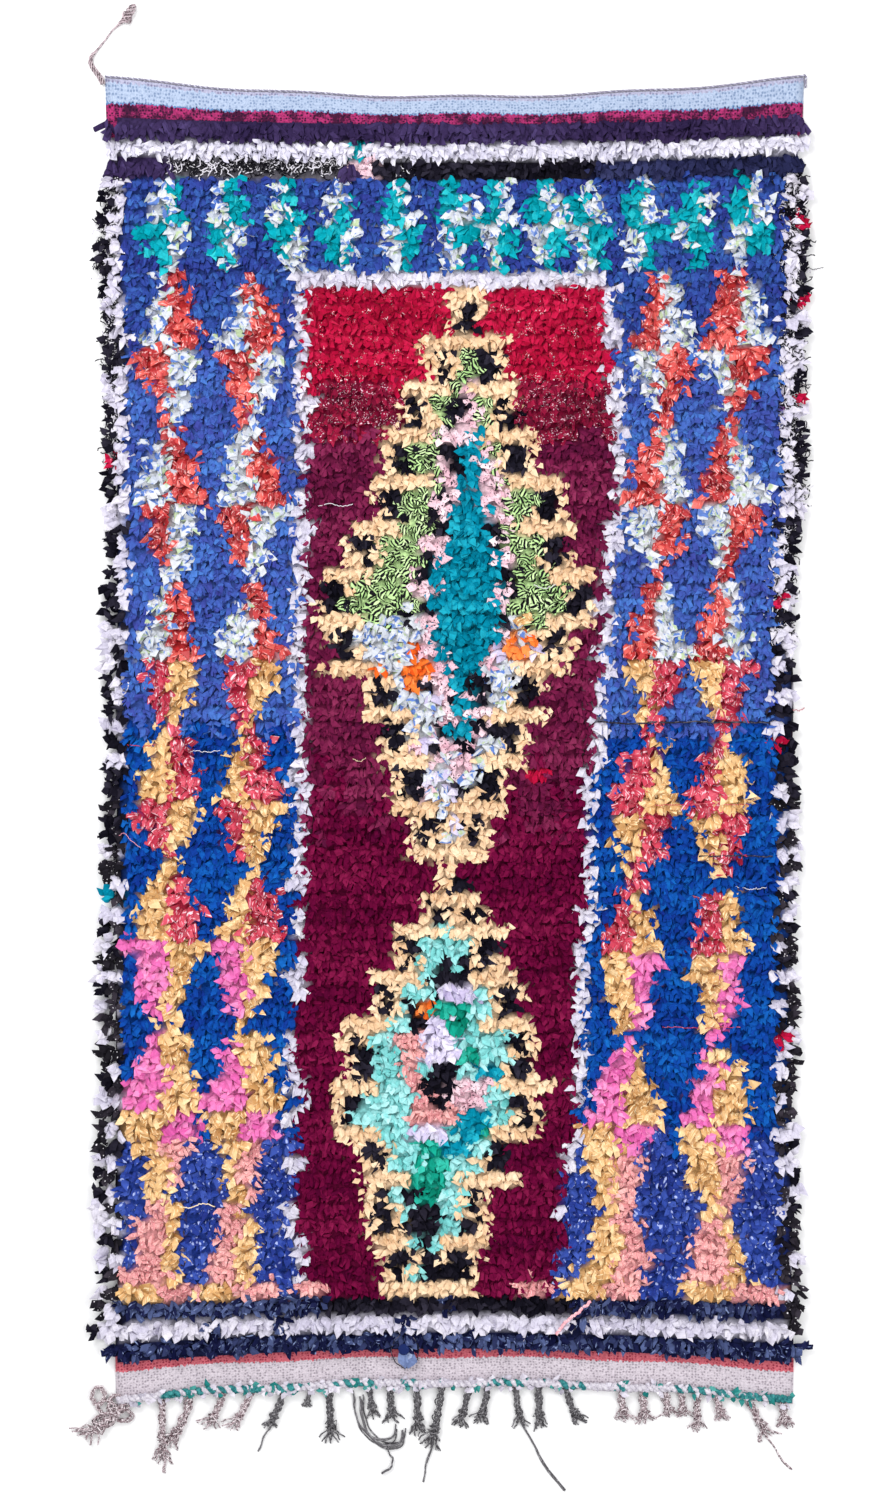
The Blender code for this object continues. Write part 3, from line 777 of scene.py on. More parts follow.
def weave_material():
    """Hand-spun wool, weft-faced, so the eye gets fine level ribs and streaks of uneven dye."""
    material, tree, shader = new_material("weft_faced_wool_weave", roughness=0.92, specular_ior_level=0.12)
    place = add(tree, "UVMap", uv_map="Weave").outputs["UV"]
    along = add(tree, "SeparateXYZ", {0: place}).outputs["Y"]
    # Each stripe's edge strays by a pick or two
    strays = add(tree, "Mapping", {"Vector": place, "Scale": (170, 90, 1)}).outputs[0]
    strays = ranged(tree, noise(tree, strays, 1.0), 0.2, 0.8, -EDGE_STRAY, EDGE_STRAY)
    strayed = maths(tree, "ADD", along, strays)
    share = ranged(tree, maths(tree, "ABSOLUTE", strayed), STRIPES_FROM, STRIPES_TO)
    upper_end = maths(tree, "GREATER_THAN", along, 0.0)
    shades = []
    for shade in (1, 2):
        lower, upper = (stripe_colours(tree, share, end, shade) for end in (LOWER_STRIPES, UPPER_STRIPES))
        shades.append(blended(tree, upper_end, lower, upper))
    # Picks of yarn about 4 mm long and 3 mm high
    picks = add(tree, "Mapping", {"Vector": place, "Scale": (230, 1.3 / WEFT_RIB, 1)}).outputs[0]
    streak = noise(tree, picks, 1.0, 3.0, Roughness=0.7)
    blotch = ranged(tree, noise(tree, place, 42.0), 0.25, 0.75, -0.05, 0.05)
    flecked = ranged(tree, maths(tree, "ADD", streak, blotch), 0.40, 0.60, 0.55, 1.0)
    # Each pick comes up between two warps as a pale bead, with a dark dot where a warp goes under.
    # They are drawn 5 to 6 mm wide, a little coarser than the real ones, so that they show
    beads = add(tree, "Mapping", {"Vector": place, "Scale": (1 / 0.0058, 1 / 0.0050, 1)}).outputs[0]
    beads = add(tree, "TexVoronoi", {"Vector": beads, "Scale": 1.0, "Randomness": 0.5}).outputs[0]
    flecked = maths(tree, "MULTIPLY", flecked, ranged(tree, beads, 0.24, 0.46))
    # The magenta stripe is beaten in so tightly that it is broken here and there
    broken = ranged(tree, noise(tree, place, 20.0, 6.0, Roughness=0.8), 0.46, 0.54, 0.0, 0.9)
    magenta = maths(tree, "COMPARE", strayed, MAGENTA_MIDDLE, MAGENTA_HALF)
    kept = maths(tree, "SUBTRACT", 1.0, maths(tree, "MULTIPLY", broken, magenta))
    yarn = blended(tree, maths(tree, "MULTIPLY", flecked, kept), *shades)
    backs = add(tree, "Attribute", attribute_name="knot_back").outputs["Color"]
    under_pile = maths(tree, "LESS_THAN", maths(tree, "ABSOLUTE", along), BACKS_TO)
    tree.links.new(blended(tree, under_pile, yarn, backs), shader.inputs["Base Color"])
    bumped(tree, shader, noise(tree, picks, 2.0, 1.0), 0.6, 0.0008)
    return material


lower_ribs = np.arange(FOOT_LINE, -1.140, WEFT_RIB / 2)
upper_ribs = np.arange(1.172, 1.2401, WEFT_RIB / 2)
ground_lines = np.concatenate([lower_ribs, np.linspace(-1.13, 1.16, 78), upper_ribs])
ground_across = np.linspace(-1, 1, GROUND_COLUMNS)
line, across = np.meshgrid(ground_lines, ground_across, indexing="ij")
ribbed = (abs(line) > STRIPES_FROM) * RIB_HEIGHT * (np.arange(len(ground_lines)) % 2)[:, None]
weave_x, weave_y = woven_point(across, line)
weave_top = np.stack([weave_x, weave_y, ground_high[2] - RIB_HEIGHT + ribbed], -1)
weave_points, weave_faces = closed_sheet(weave_top, ground_low[2] + UNDERSIDE_LIFT)
weave_uv = np.tile(np.stack([weave_x, line], -1).reshape(-1, 2), (2, 1))
# Under the pile the cloth shows the back of each knot, as a row of coloured dashes
knot_backs = np.tile(shades_at(weave_x, line, 0.8), (2, 1))
weave = mesh_object(
    "ground_cloth",
    weave_points,
    weave_faces,
    weave_material(),
    {"Weave": weave_uv[weave_faces[0].ravel()]},
    knot_back=knot_backs,
)
stand_in(weave, "ground_weave")

# The pile rags: strips of old clothes 1 to 2 cm wide, torn by hand and knotted over two warps, so
# that both ends stand up and flop towards the off-white end. Each strip end here is one closed flap.

KNOT_FOOT = 0.0046
THIN = 0.0009
NAP = -math.pi / 2
# Tufts lean with the nap, so a knot sits this far above the middle of what shows of it
NAP_REACH = 0.0055
# A strip end's section has two thin edges and a fold between them
LEFT_FOLD_RIGHT = np.array([-1.0, 0.0, 1.0])
RIM_TOP = 0.030
RIM_SOFT = 0.006
CREASE = 0.0006
# How far a strip end's foot strays from its knot, across and along
FOOT_STRAY = (0.0080, 0.0095)
FLOOR_CLEAR = 0.0007
CLOTH_CLEAR = 0.0036


def sweep(middles, sides, across, up, slant=0.0):
    """Carries a section along many paths at once. middles and sides are (path, ring, 3) and
    across and up are (path, ring, corner): each corner lies that far along the side and along the
    normal of its ring. It gives the points, the side faces, the two caps, and where the corners of
    all faces lie round and along their path."""
    paths, rings, corners = across.shape
    ahead = np.gradient(middles, axis=1)
    ahead /= np.linalg.norm(ahead, axis=2, keepdims=True)
    normals = np.cross(ahead, sides)
    normals /= np.linalg.norm(normals, axis=2, keepdims=True)
    points = middles[:, :, None] + sides[:, :, None] * across[..., None]
    points = points + normals[:, :, None] * up[..., None]
    if np.ndim(slant):
        points[:, -1] += ahead[:, -1, None] * (slant[:, None] * across[:, -1])[..., None]
    index = np.arange(paths * rings * corners).reshape(paths, rings, corners)
    turned = np.roll(index, -1, axis=2)
    walls = np.stack([index[:, :-1], index[:, 1:], turned[:, 1:], turned[:, :-1]], -1).reshape(-1, 4)
    caps = np.concatenate([index[:, 0], index[:, -1, ::-1]])
    ring, corner = np.meshgrid(np.arange(rings - 1), np.arange(corners), indexing="ij")
    round_wall = np.stack([corner, corner, corner + 1, corner + 1], -1).reshape(-1, 4)
    along_wall = np.stack([ring, ring + 1, ring + 1, ring], -1).reshape(-1, 4)
    return points.reshape(-1, 3), walls, caps, round_wall, along_wall


def bake_places(paths, rings, corners, round_wall, along_wall):
    """A square for each path on the bake's map: its walls in a grid and its caps beside them."""
    wide = math.ceil(math.sqrt(paths))
    cell = np.stack(np.divmod(np.arange(paths), wide), -1)[:, ::-1][:, None, :]
    walls = np.stack([round_wall / corners * 0.74 + 0.03, along_wall / (rings - 1) * 0.92 + 0.04], -1)
    angle = np.arange(corners) / corners * 2 * np.pi
    cap = np.stack([0.89 + 0.07 * np.cos(angle), 0.22 + 0.14 * np.sin(angle)], -1)
    walls = (walls.reshape(1, -1, 2) + cell) / wide
    first = (cap[None] + cell) / wide
    last = (cap[None] + (0, 0.5) + cell) / wide
    return np.concatenate([part.reshape(-1, 2) for part in (walls, first, last)])


def floor_under(x, y):
    """What a rag can come down on at (x, y): the ground weave where there is some, else the floor."""
    woven = (abs(x) < ground_half_width(y) + 0.001) & (y > FOOT_LINE + risen(x, y))
    return np.where(woven, CLOTH_CLEAR, FLOOR_CLEAR)


def rag_flaps(name, at, nap, material, count, width, length, rings=4, spread=0.75, fold=0.4,
              lift=(55, 86), droop=(-36, 28), foot_z=KNOT_FOOT, uneven=0.7, node="rag_pile", seed=1):
    """Strip ends tied at the knots: each rises steeply, leans over with the nap, widens past its
    knot, is folded along its middle, and ends in a slanted tear."""
    rng = np.random.default_rng(seed)
    paths = len(at) * count
    foot = np.repeat(at, count, axis=0) + rng.uniform(-1, 1, (paths, 2)) * FOOT_STRAY
    way = np.repeat(nap, count) + rng.normal(0, spread, paths)
    long = length * rng.uniform(0.72, 1.22, paths)
    wide = width / 2 * rng.uniform(0.7, 1.25, paths)
    share = np.linspace(0, 1, rings)
    rising = rng.uniform(*lift, paths)[:, None] * (1 - share)
    climb = np.radians(rising + rng.uniform(*droop, paths)[:, None] * share)
    turn = way[:, None] + rng.normal(0, 0.5, paths)[:, None] * share
    ahead = np.stack([np.cos(turn) * np.cos(climb), np.sin(turn) * np.cos(climb), np.sin(climb)], -1)
    moves = (ahead[:, 1:] + ahead[:, :-1]) / 2 * (long / (rings - 1))[:, None, None]
    start = np.concatenate([foot, np.full((paths, 1), foot_z)], 1)[:, None]
    middles = np.concatenate([start, start + np.cumsum(moves, axis=1)], 1)
    level = np.stack([-np.sin(turn), np.cos(turn), np.zeros_like(turn)], -1)
    over = np.pi * (rng.random(paths) < 0.4) + rng.normal(0, 0.28, paths)
    roll = over[:, None] + rng.normal(0, 0.5, paths)[:, None] * share
    above = np.cross(ahead, level)
    sides = level * np.cos(roll)[..., None] + above * np.sin(roll)[..., None]
    profile = np.interp(share, (0, 0.3, 0.7, 1), (0.55, 0.92, 1.0, 0.88))
    half = wide[:, None] * profile
    ridge = THIN + rng.uniform(0.1, 1, paths)[:, None] * half * fold
    across = half[..., None] * LEFT_FOLD_RIGHT
    up = ridge[..., None] * (LEFT_FOLD_RIGHT == 0)
    slant = rng.uniform(-1.0, 1.0, paths)
    points, walls, caps, round_wall, along_wall = sweep(middles, sides, across, up, slant)
    points += rng.normal(0, CREASE, points.shape)
    over_top = np.maximum(points[:, 2] - RIM_TOP, 0)
    points[:, 2] -= over_top - np.tanh(over_top / RIM_SOFT) * RIM_SOFT
    points[:, 2] = np.maximum(points[:, 2], floor_under(points[:, 0], points[:, 1]))
    strip = rng.uniform(0, 5, (paths, 1, 2))
    step = np.stack([round_wall * 0.6 * width, along_wall * length / (rings - 1)], -1)
    on_walls = (strip + step.reshape(1, -1, 2)).reshape(-1, 2)
    on_caps = np.tile(np.repeat(strip, 3, axis=1).reshape(-1, 2), (2, 1))
    maps = {
        "Rag": np.concatenate([on_walls, on_caps]),
        "OFBake": bake_places(paths, rings, 3, round_wall, along_wall),
    }
    # The dye also changes a little from one length of rag to the next, every few rows
    batch = 0.13 * np.sin(foot[:, 1] * 37 + 2.2 * np.sin(foot[:, 0] * 9 + seed))
    batch = batch + 0.07 * np.sin(foot[:, 1] * 120)
    tone = np.repeat(0.5 + batch + rng.uniform(-0.5, 0.5, paths) * uneven, rings * 3)
    reach = np.tile(np.repeat(share, 3), paths)
    piece = mesh_object(name, points, [walls, caps], material, maps, smooth=False, tone=tone, reach=reach)
    stand_in(piece, node)


def knots_of(rag):
    """The places of a rag's knots, and the way that each one's ends lean."""
    chosen = knot_rag == rag
    at = np.stack([knot_x[chosen], knot_y[chosen] + NAP_REACH], -1)
    place = knot_place[chosen]
    # The outermost knots' ends fall outwards, and the next ones' half so
    outer = np.clip(abs(place) - (KNOTS_ACROSS - 1) / 2 + 2, 0, 2) * (knot_row[chosen] > 0)
    lean = NAP + np.sign(place) * np.interp(outer, (0, 1, 2), (0.0, 0.5, 1.35))
    return at, lean


def rag_material(name, dyes, crumple=0.0055, **shader_inputs):
    """Worn cloth: every strip is a little lighter or darker at random, and crumpled every 5 mm or so.
    Its colour also carries painted shade: darker towards its knot, full at its torn end, darker in
    the crumples' hollows and lighter on their tops. It gives the material, its tree and shader, the
    strip's own coordinates, and its colour and light for lay_colour, so that a print can come between."""
    material, tree, shader = new_material(name, **shader_inputs)
    tone = add(tree, "Attribute", attribute_name="tone").outputs["Fac"]
    reach = add(tree, "Attribute", attribute_name="reach").outputs["Fac"]
    strip = add(tree, "UVMap", uv_map="Rag").outputs["UV"]
    deep, middle, pale = dyes
    dyed = add(tree, "ValToRGB", {0: tone}, [(0.05, deep), (0.96, pale), (0.5, middle)]).outputs[0]
    creased = noise(tree, strip, 1 / crumple)
    # Painted shade and light: the crumples' own bump noise darkens their hollows and lightens their tops
    crumple_painted_shade = ranged(tree, creased, 0.3, 0.7, 0.84, 1.14)
    # Painted shade: the strip darkens to 0.8 of its colour towards its knot
    painted_shade_at_knot = ranged(tree, reach, 0.0, 0.55, 0.80, 1.0)
    light = maths(tree, "MULTIPLY", crumple_painted_shade, painted_shade_at_knot)
    bumped(tree, shader, creased, 0.7, 0.0016)
    return material, tree, shader, strip, dyed, light


def lay_colour(tree, shader, colour, light):
    """Shades a rag's colour by its light and gives it to the shader."""
    shaded = add(tree, "VectorMath", {0: colour, "Scale": light}, operation="SCALE")
    tree.links.new(shaded.outputs[0], shader.inputs["Base Color"])


# Jersey rags: old T-shirts and leggings, plain dyed cotton knit. Torn strips curl into soft matt
# rolls with no shine. Their colour is darkened in the crumples and towards the knot as painted shade.

JERSEY_RAGS = (
    # rag, ends to a knot, width, length, rings, how far they spread
    ("navy_jersey", 10, 0.0120, 0.032, 3, 0.4),
    ("midnight_jersey", 10, 0.0120, 0.030, 3, 0.4),
    ("white_cotton", 10, 0.0115, 0.031, 4, 0.5),
    ("white_jersey", 6, 0.0170, 0.026, 4, 0.6),
    ("black_jersey", 6, 0.0130, 0.026, 4, 0.7),
    ("dusk_blue", 9, 0.0105, 0.024, 3, 0.6),
    ("violet_blue", 9, 0.0105, 0.024, 3, 0.6),
    ("cobalt", 9, 0.0105, 0.024, 3, 0.6),
    ("turquoise_jersey", 6, 0.0170, 0.027, 4, 0.7),
    ("teal_jersey", 7, 0.0140, 0.027, 4, 0.7),
    ("pink_jersey", 6, 0.0155, 0.026, 4, 0.7),
    ("burgundy", 9, 0.0105, 0.023, 3, 0.6),
    ("wine", 9, 0.0105, 0.023, 3, 0.6),
    ("cream_jersey", 7, 0.0125, 0.026, 4, 0.6),
    ("mint_jersey", 7, 0.0135, 0.026, 4, 0.7),
    ("sea_green", 6, 0.0150, 0.026, 4, 0.7),
    ("lilac_jersey", 5, 0.0170, 0.027, 4, 0.7),
    ("orange_jersey", 5, 0.0160, 0.026, 4, 0.7),
)
# The finest ends lie flatter, so they make an even nap
FINE_NAP = {"lift": (34, 70), "foot_z": 0.0085, "fold": 0.3}


def plain_cotton(name, dyes):
    """Matt cotton with no print and no flecks."""
    material, tree, shader, _, dyed, light = rag_material(name, dyes, roughness=0.9, specular_ior_level=0.0)
    lay_colour(tree, shader, dyed, light)
    return material


for number, (rag, ends, width, length, rings, spread) in enumerate(JERSEY_RAGS):
    jersey = plain_cotton(rag + "_cotton", DYES[rag])
    at, lean = knots_of(rag)
    nap = {"uneven": 0.5, **FINE_NAP} if rings == 3 else {}
    rag_flaps(rag + "_rags", at, lean, jersey, ends, width, length, rings, spread, seed=20 + number, **nap)

# Stiffer rags: dress satin, with floated warp threads, and denim. They stand in wide creased leaves
# with soft streaks of shine. In the red satin the pale flecks are painted highlights, streaks of shine along
# its creases; in the other rags they are a second colour woven in.

SATIN_RAGS = (
    # rag, fleck colour (a painted highlight in the red satin), threshold of flecks, flecks to a metre,
    # roughness, shine, ends, width, uneven
    ("red_satin", "#fabcba", 0.62, (300, 75, 1), 0.45, 0.4, 5, 0.0175, 0.7),
    ("ochre_satin", "#f6dcae", 0.60, (300, 75, 1), 0.45, 0.4, 5, 0.0175, 0.7),
    ("mottled_red", "#f6d0da", 0.62, (300, 75, 1), 0.45, 0.4, 5, 0.0175, 0.7),
    ("denim", "#8c9cc8", 0.69, (210, 60, 1), 0.95, 0.0, 9, 0.0110, 0.95),
)
for number, (rag, fleck, rare, fine, rough, shine, ends, width, uneven) in enumerate(SATIN_RAGS):
    satin, tree, shader, strip, dyed, light = rag_material(
        rag + "_weave", DYES[rag], crumple=0.007, roughness=rough, specular_ior_level=shine
    )
    # Flecks about 3 mm wide and four times as long, painted highlights in the red satin, and larger slivers
    # in the denim
    drawn = add(tree, "Mapping", {"Vector": strip, "Scale": fine}).outputs[0]
    shows = ranged(tree, noise(tree, drawn, 1.0, 1.0), rare - 0.05, rare + 0.05)
    lay_colour(tree, shader, blended(tree, shows, dyed, linear(fleck)), light)
    at, lean = knots_of(rag)
    rag_flaps(rag + "_rags", at, lean, satin, ends, width, 0.028, fold=0.5, uneven=uneven, seed=50 + number)

# Printed rags: white cotton with blue and green leaves, lime knit with a black zebra stripe, royal
# blue with white dots, and black with white pin dots. The print runs on over each strip.

floral, tree, shader, strip, dyed, light = rag_material(
    "white_floral_print", DYES["white_floral"], roughness=0.75, specular_ior_level=0.2
)
# Leaves and petals 15 to 20 mm across, the green ones out of step with the blue
blue_shows = ranged(tree, noise(tree, strip, 58.0, 1.5), 0.56, 0.60)
green_leaves = {"Vector": strip, "Scale": 52.0, "W": 4.0, "Detail": 1.5}
green_shows = add(tree, "TexNoise", green_leaves, noise_dimensions="4D").outputs[0]
green_shows = ranged(tree, green_shows, 0.57, 0.63)
colour = blended(tree, blue_shows, dyed, linear("#5c7cc2"))
lay_colour(tree, shader, blended(tree, green_shows, colour, linear("#b2c49c")), light)
at, lean = knots_of("white_floral")
rag_flaps("white_floral_rags", at, lean, floral, 4, 0.0200, 0.028, seed=60)

zebra, tree, shader, strip, dyed, light = rag_material(
    "lime_zebra_knit", DYES["zebra_print"], roughness=0.9, specular_ior_level=0.12
)
# Stripes 5 to 8 mm apart
stripe = add(
    tree,
    "TexWave",
    {"Vector": strip, "Scale": 58.0, "Distortion": 3.5, "Detail": 1.0, "Detail Scale": 1.0},
    bands_direction="DIAGONAL",
).outputs["Fac"]
black_shows = ranged(tree, stripe, 0.40, 0.48)
lay_colour(tree, shader, blended(tree, black_shows, dyed, linear("#15131a")), light)
at, lean = knots_of("zebra_print")
rag_flaps("zebra_print_rags", at, lean, zebra, 5, 0.0170, 0.026, seed=61)

DOTTED_RAGS = (
    # rag, dot colour, dot spacing, dot size as a share of it
    ("dotted_blue", "#a8b6e8", 0.0120, 0.27),
    ("pinned_black", "#e8e4ea", 0.0075, 0.16),
)
for number, (rag, ink, spacing, size) in enumerate(DOTTED_RAGS):
    dotted, tree, shader, strip, dyed, light = rag_material(
        rag + "_print", DYES[rag], roughness=0.85, specular_ior_level=0.15
    )
    dots = add(tree, "TexVoronoi", {"Vector": strip, "Scale": 1 / spacing, "Randomness": 0.75}).outputs[0]
    dot_shows = ranged(tree, dots, size + 0.05, size - 0.05)
    lay_colour(tree, shader, blended(tree, dot_shows, dyed, linear(ink)), light)
    at, lean = knots_of(rag)
    rag_flaps(rag + "_rags", at, lean, dotted, 6, 0.0130, 0.025, 4, seed=70 + number)

# Fuzzy rags: brushed fleece, crinkled seersucker and wool woven with white slivers. They fray into
# fine soft ends, so each knot has more and thinner strips.

FUZZY_RAGS = (
    # rag, fleck colour, threshold of flecks and of their clusters, fleck size, ends, width
    ("salmon_fleece", "#f4c4c0", 0.60, 0.0, 0.0030, 8, 0.0100),
    ("pale_crinkle", "#221c28", 0.63, 0.0, 0.0052, 5, 0.0150),
    ("bright_red", "#f4dce4", 0.62, 0.60, 0.0036, 9, 0.0105),
    ("flecked_maroon", "#ecc8d8", 0.645, 0.47, 0.0042, 9, 0.0105),
)
for number, (rag, fleck, rare, cluster, size, ends, width) in enumerate(FUZZY_RAGS):
    fuzzy, tree, shader, strip, dyed, light = rag_material(
        rag + "_wool", DYES[rag], crumple=0.0035, roughness=0.95, specular_ior_level=0.05, sheen_weight=0.05
    )
    shows = ranged(tree, noise(tree, strip, 1 / size, 1.0), rare - 0.04, rare + 0.04)
    place = add(tree, "TexCoord").outputs["Object"]
    thick = ranged(tree, noise(tree, place, 45.0), cluster - 0.03, cluster + 0.05)
    shows = maths(tree, "MULTIPLY", shows, thick)
    lay_colour(tree, shader, blended(tree, shows, dyed, linear(fleck)), light)
    at, lean = knots_of(rag)
    if cluster:
        rag_flaps(rag + "_rags", at, lean, fuzzy, ends, width, 0.023, 3, 0.6, seed=80 + number, **FINE_NAP)
    else:
        rag_flaps(rag + "_rags", at, lean, fuzzy, ends, width, 0.026, seed=80 + number, spread=1.0)

# Salted yarn: a curly two-colour wool, black and white twisted together, that fills part of the
# third row and the upper sides. Each knot is a bunch of thin crimped ends.

YARN_RADIUS = 0.0014
YARN_ENDS = 15
YARN_RINGS = 8
# Down the upper sides it is also tied in with the outer rags, to these rows at the left and right
SALTED_SIDE_ROWS = (19, 30)


def level_sides(middles):
    """For each ring of each path, the level direction square to the path."""
    ahead = np.gradient(middles, axis=1)
    sides = np.stack([-ahead[..., 1], ahead[..., 0], np.zeros(ahead.shape[:2])], -1)
    length = np.linalg.norm(sides, axis=2, keepdims=True)
    return np.where(length > 1e-9, sides / np.maximum(length, 1e-9), (0.0, 1.0, 0.0))


def yarn_piece(name, paths, radius, material, step, tones, node, corners=5):
    """Round yarns along many paths as one piece, in the place of a node. Its strip coordinate runs
    along each yarn, by step from one ring to the next."""
    angle = -np.arange(corners) / corners * 2 * np.pi
    size = np.broadcast_to(radius, paths.shape[:2])[..., None]
    sides = level_sides(paths)
    points, walls, caps, round_wall, along_wall = sweep(
        paths, sides, size * -np.cos(angle), size * -np.sin(angle)
    )
    start = np.arange(len(paths))[:, None, None] * (0.37, 0.61)
    run = np.stack([round_wall * 0.002, along_wall * step], -1).reshape(1, -1, 2) + start
    strip = np.concatenate([run.reshape(-1, 2), np.zeros((caps.size, 2))])
    tone = np.repeat(tones, len(points) // len(paths))
    piece = mesh_object(name, points, [walls, caps], material, {"Rag": strip}, tone=tone)
    stand_in(piece, node)


def yarn_material(name, deep, pale, fleck, share, size=0.006):
    """Hand-spun yarn: matt, with flecks of a second fibre and the ply's slanting ridges."""
    material, tree, shader = new_material(name, roughness=0.95, specular_ior_level=0.1)
    tone = add(tree, "Attribute", attribute_name="tone").outputs["Fac"]
    strip = add(tree, "UVMap", uv_map="Rag").outputs["UV"]
    dyed = add(tree, "ValToRGB", {0: tone}, [(0.1, deep), (0.9, pale)]).outputs[0]
    shows = ranged(tree, noise(tree, strip, 1 / size), share - 0.04, share + 0.04)
    tree.links.new(blended(tree, shows, dyed, linear(fleck)), shader.inputs["Base Color"])
    plies = add(tree, "TexWave", {"Vector": strip, "Scale": 90.0}, bands_direction="DIAGONAL")
    bumped(tree, shader, plies.outputs["Fac"], 0.5, 0.0006)
    return material


def crimped(at, lean, ends, length, rings, rng):
    """Paths of thin ends that rise from each knot and wander as they fall over."""
    paths = len(at) * ends
    foot = np.repeat(at, ends, axis=0) + rng.uniform(-1, 1, (paths, 2)) * 0.009
    share = np.linspace(0, 1, rings)
    way = np.repeat(lean, ends)[:, None] + rng.normal(0, 1.0, paths)[:, None]
    way = way + np.cumsum(rng.normal(0, 1.0, (paths, rings)), axis=1)
    climb = np.radians(rng.uniform(50, 85, paths)[:, None] * (1 - share * 1.5))
    step = length * rng.uniform(0.7, 1.3, paths)[:, None, None] / (rings - 1)
    ahead = np.stack([np.cos(way) * np.cos(climb), np.sin(way) * np.cos(climb), np.sin(climb)], -1)
    start = np.concatenate([foot, np.full((paths, 1), KNOT_FOOT)], 1)[:, None]
    middles = np.concatenate([start, start + np.cumsum(ahead[:, 1:] * step, axis=1)], 1)
    lowest = floor_under(middles[..., 0], middles[..., 1]) + YARN_RADIUS
    middles[..., 2] = np.maximum(middles[..., 2], lowest)
    return middles


salt_rng = np.random.default_rng(90)
salt_at, salt_lean = knots_of("salted_yarn")
at_right = knot_x > 0
at_side = (abs(knot_place) > 34.5 - at_right) & (knot_row > 0)
at_side &= knot_row < np.where(at_right, SALTED_SIDE_ROWS[1], SALTED_SIDE_ROWS[0])
side_at = np.stack([knot_x[at_side], knot_y[at_side]], -1)
side_lean = np.where(side_at[:, 0] < 0, -math.pi, 0.0)
salt_paths = np.concatenate([
    crimped(salt_at, salt_lean, YARN_ENDS, 0.036, YARN_RINGS, salt_rng),
    crimped(side_at, side_lean, YARN_ENDS, 0.034, YARN_RINGS, salt_rng),
])
salted_wool = yarn_material("salted_wool", "#16141c", "#dcd8e2", "#f2f0f6", 0.62)
# More than one yarn in four is the white one
salted_tones = np.where(salt_rng.random(len(salt_paths)) < 0.28, 0.95, 0.1)
yarn_piece("salted_yarn_tufts", salt_paths, YARN_RADIUS, salted_wool, 0.005, salted_tones, "rag_pile", 3)

# The knots' feet: each row of knots makes a low ridge under the strip ends, with two or three weft
# picks beaten down between the rows. It takes its knots' colours darkened by a fifth: painted shade where it
# shows between the rags.

FOOT_RIDGE = 0.0115
FOOT_VALLEY = 0.0070
FOOT_COLUMNS = 49
# Two lines to a row of knots, a ridge and a valley
FOOT_LINES = 157
FOOT_UNDERSIDE = 0.0034
foot_lines = np.linspace(row_line(-2.8), row_line(75.0), FOOT_LINES)
line, across = np.meshgrid(foot_lines, np.linspace(-1, 1, FOOT_COLUMNS), indexing="ij")
foot_x = across * (RUG_HALF_WIDTH - 0.002)
ridged = np.where(np.arange(FOOT_LINES)[:, None] % 2 == 1, FOOT_RIDGE, FOOT_VALLEY)
foot_rng = np.random.default_rng(5)
foot_z = ridged + foot_rng.uniform(-0.0008, 0.0008, foot_x.shape)
foot_top = np.stack([foot_x, line + risen(foot_x, line), foot_z], -1)
foot_points, foot_faces = closed_sheet(foot_top[::-1], FOOT_UNDERSIDE)
foot_wool, tree, shader = new_material("knotted_feet", roughness=0.95, specular_ior_level=0.05)
foot_colour = add(tree, "Attribute", attribute_name="knot_shade").outputs["Color"]
place = add(tree, "TexCoord").outputs["Object"]
foot_worn = ranged(tree, noise(tree, place, 160.0), 0.3, 0.7, 0.6, 1.2)
lay_colour(tree, shader, foot_colour, foot_worn)
# Painted shade: the knots' colours at 0.8 for the feet between the rags
foot_colours_painted_shade = np.tile(shades_at(foot_x[::-1], line[::-1] + 0.003, 0.8), (2, 1))
feet = mesh_object("knot_feet", foot_points, foot_faces, foot_wool, knot_shade=foot_colours_painted_shade)
stand_in(feet, "rag_pile")

# The loose ends: yarn that has worked out of the weave or hangs from a knot, and the wefts that
# show as a broken line where two rows part. Thin spun yarn that lies on top of the pile.

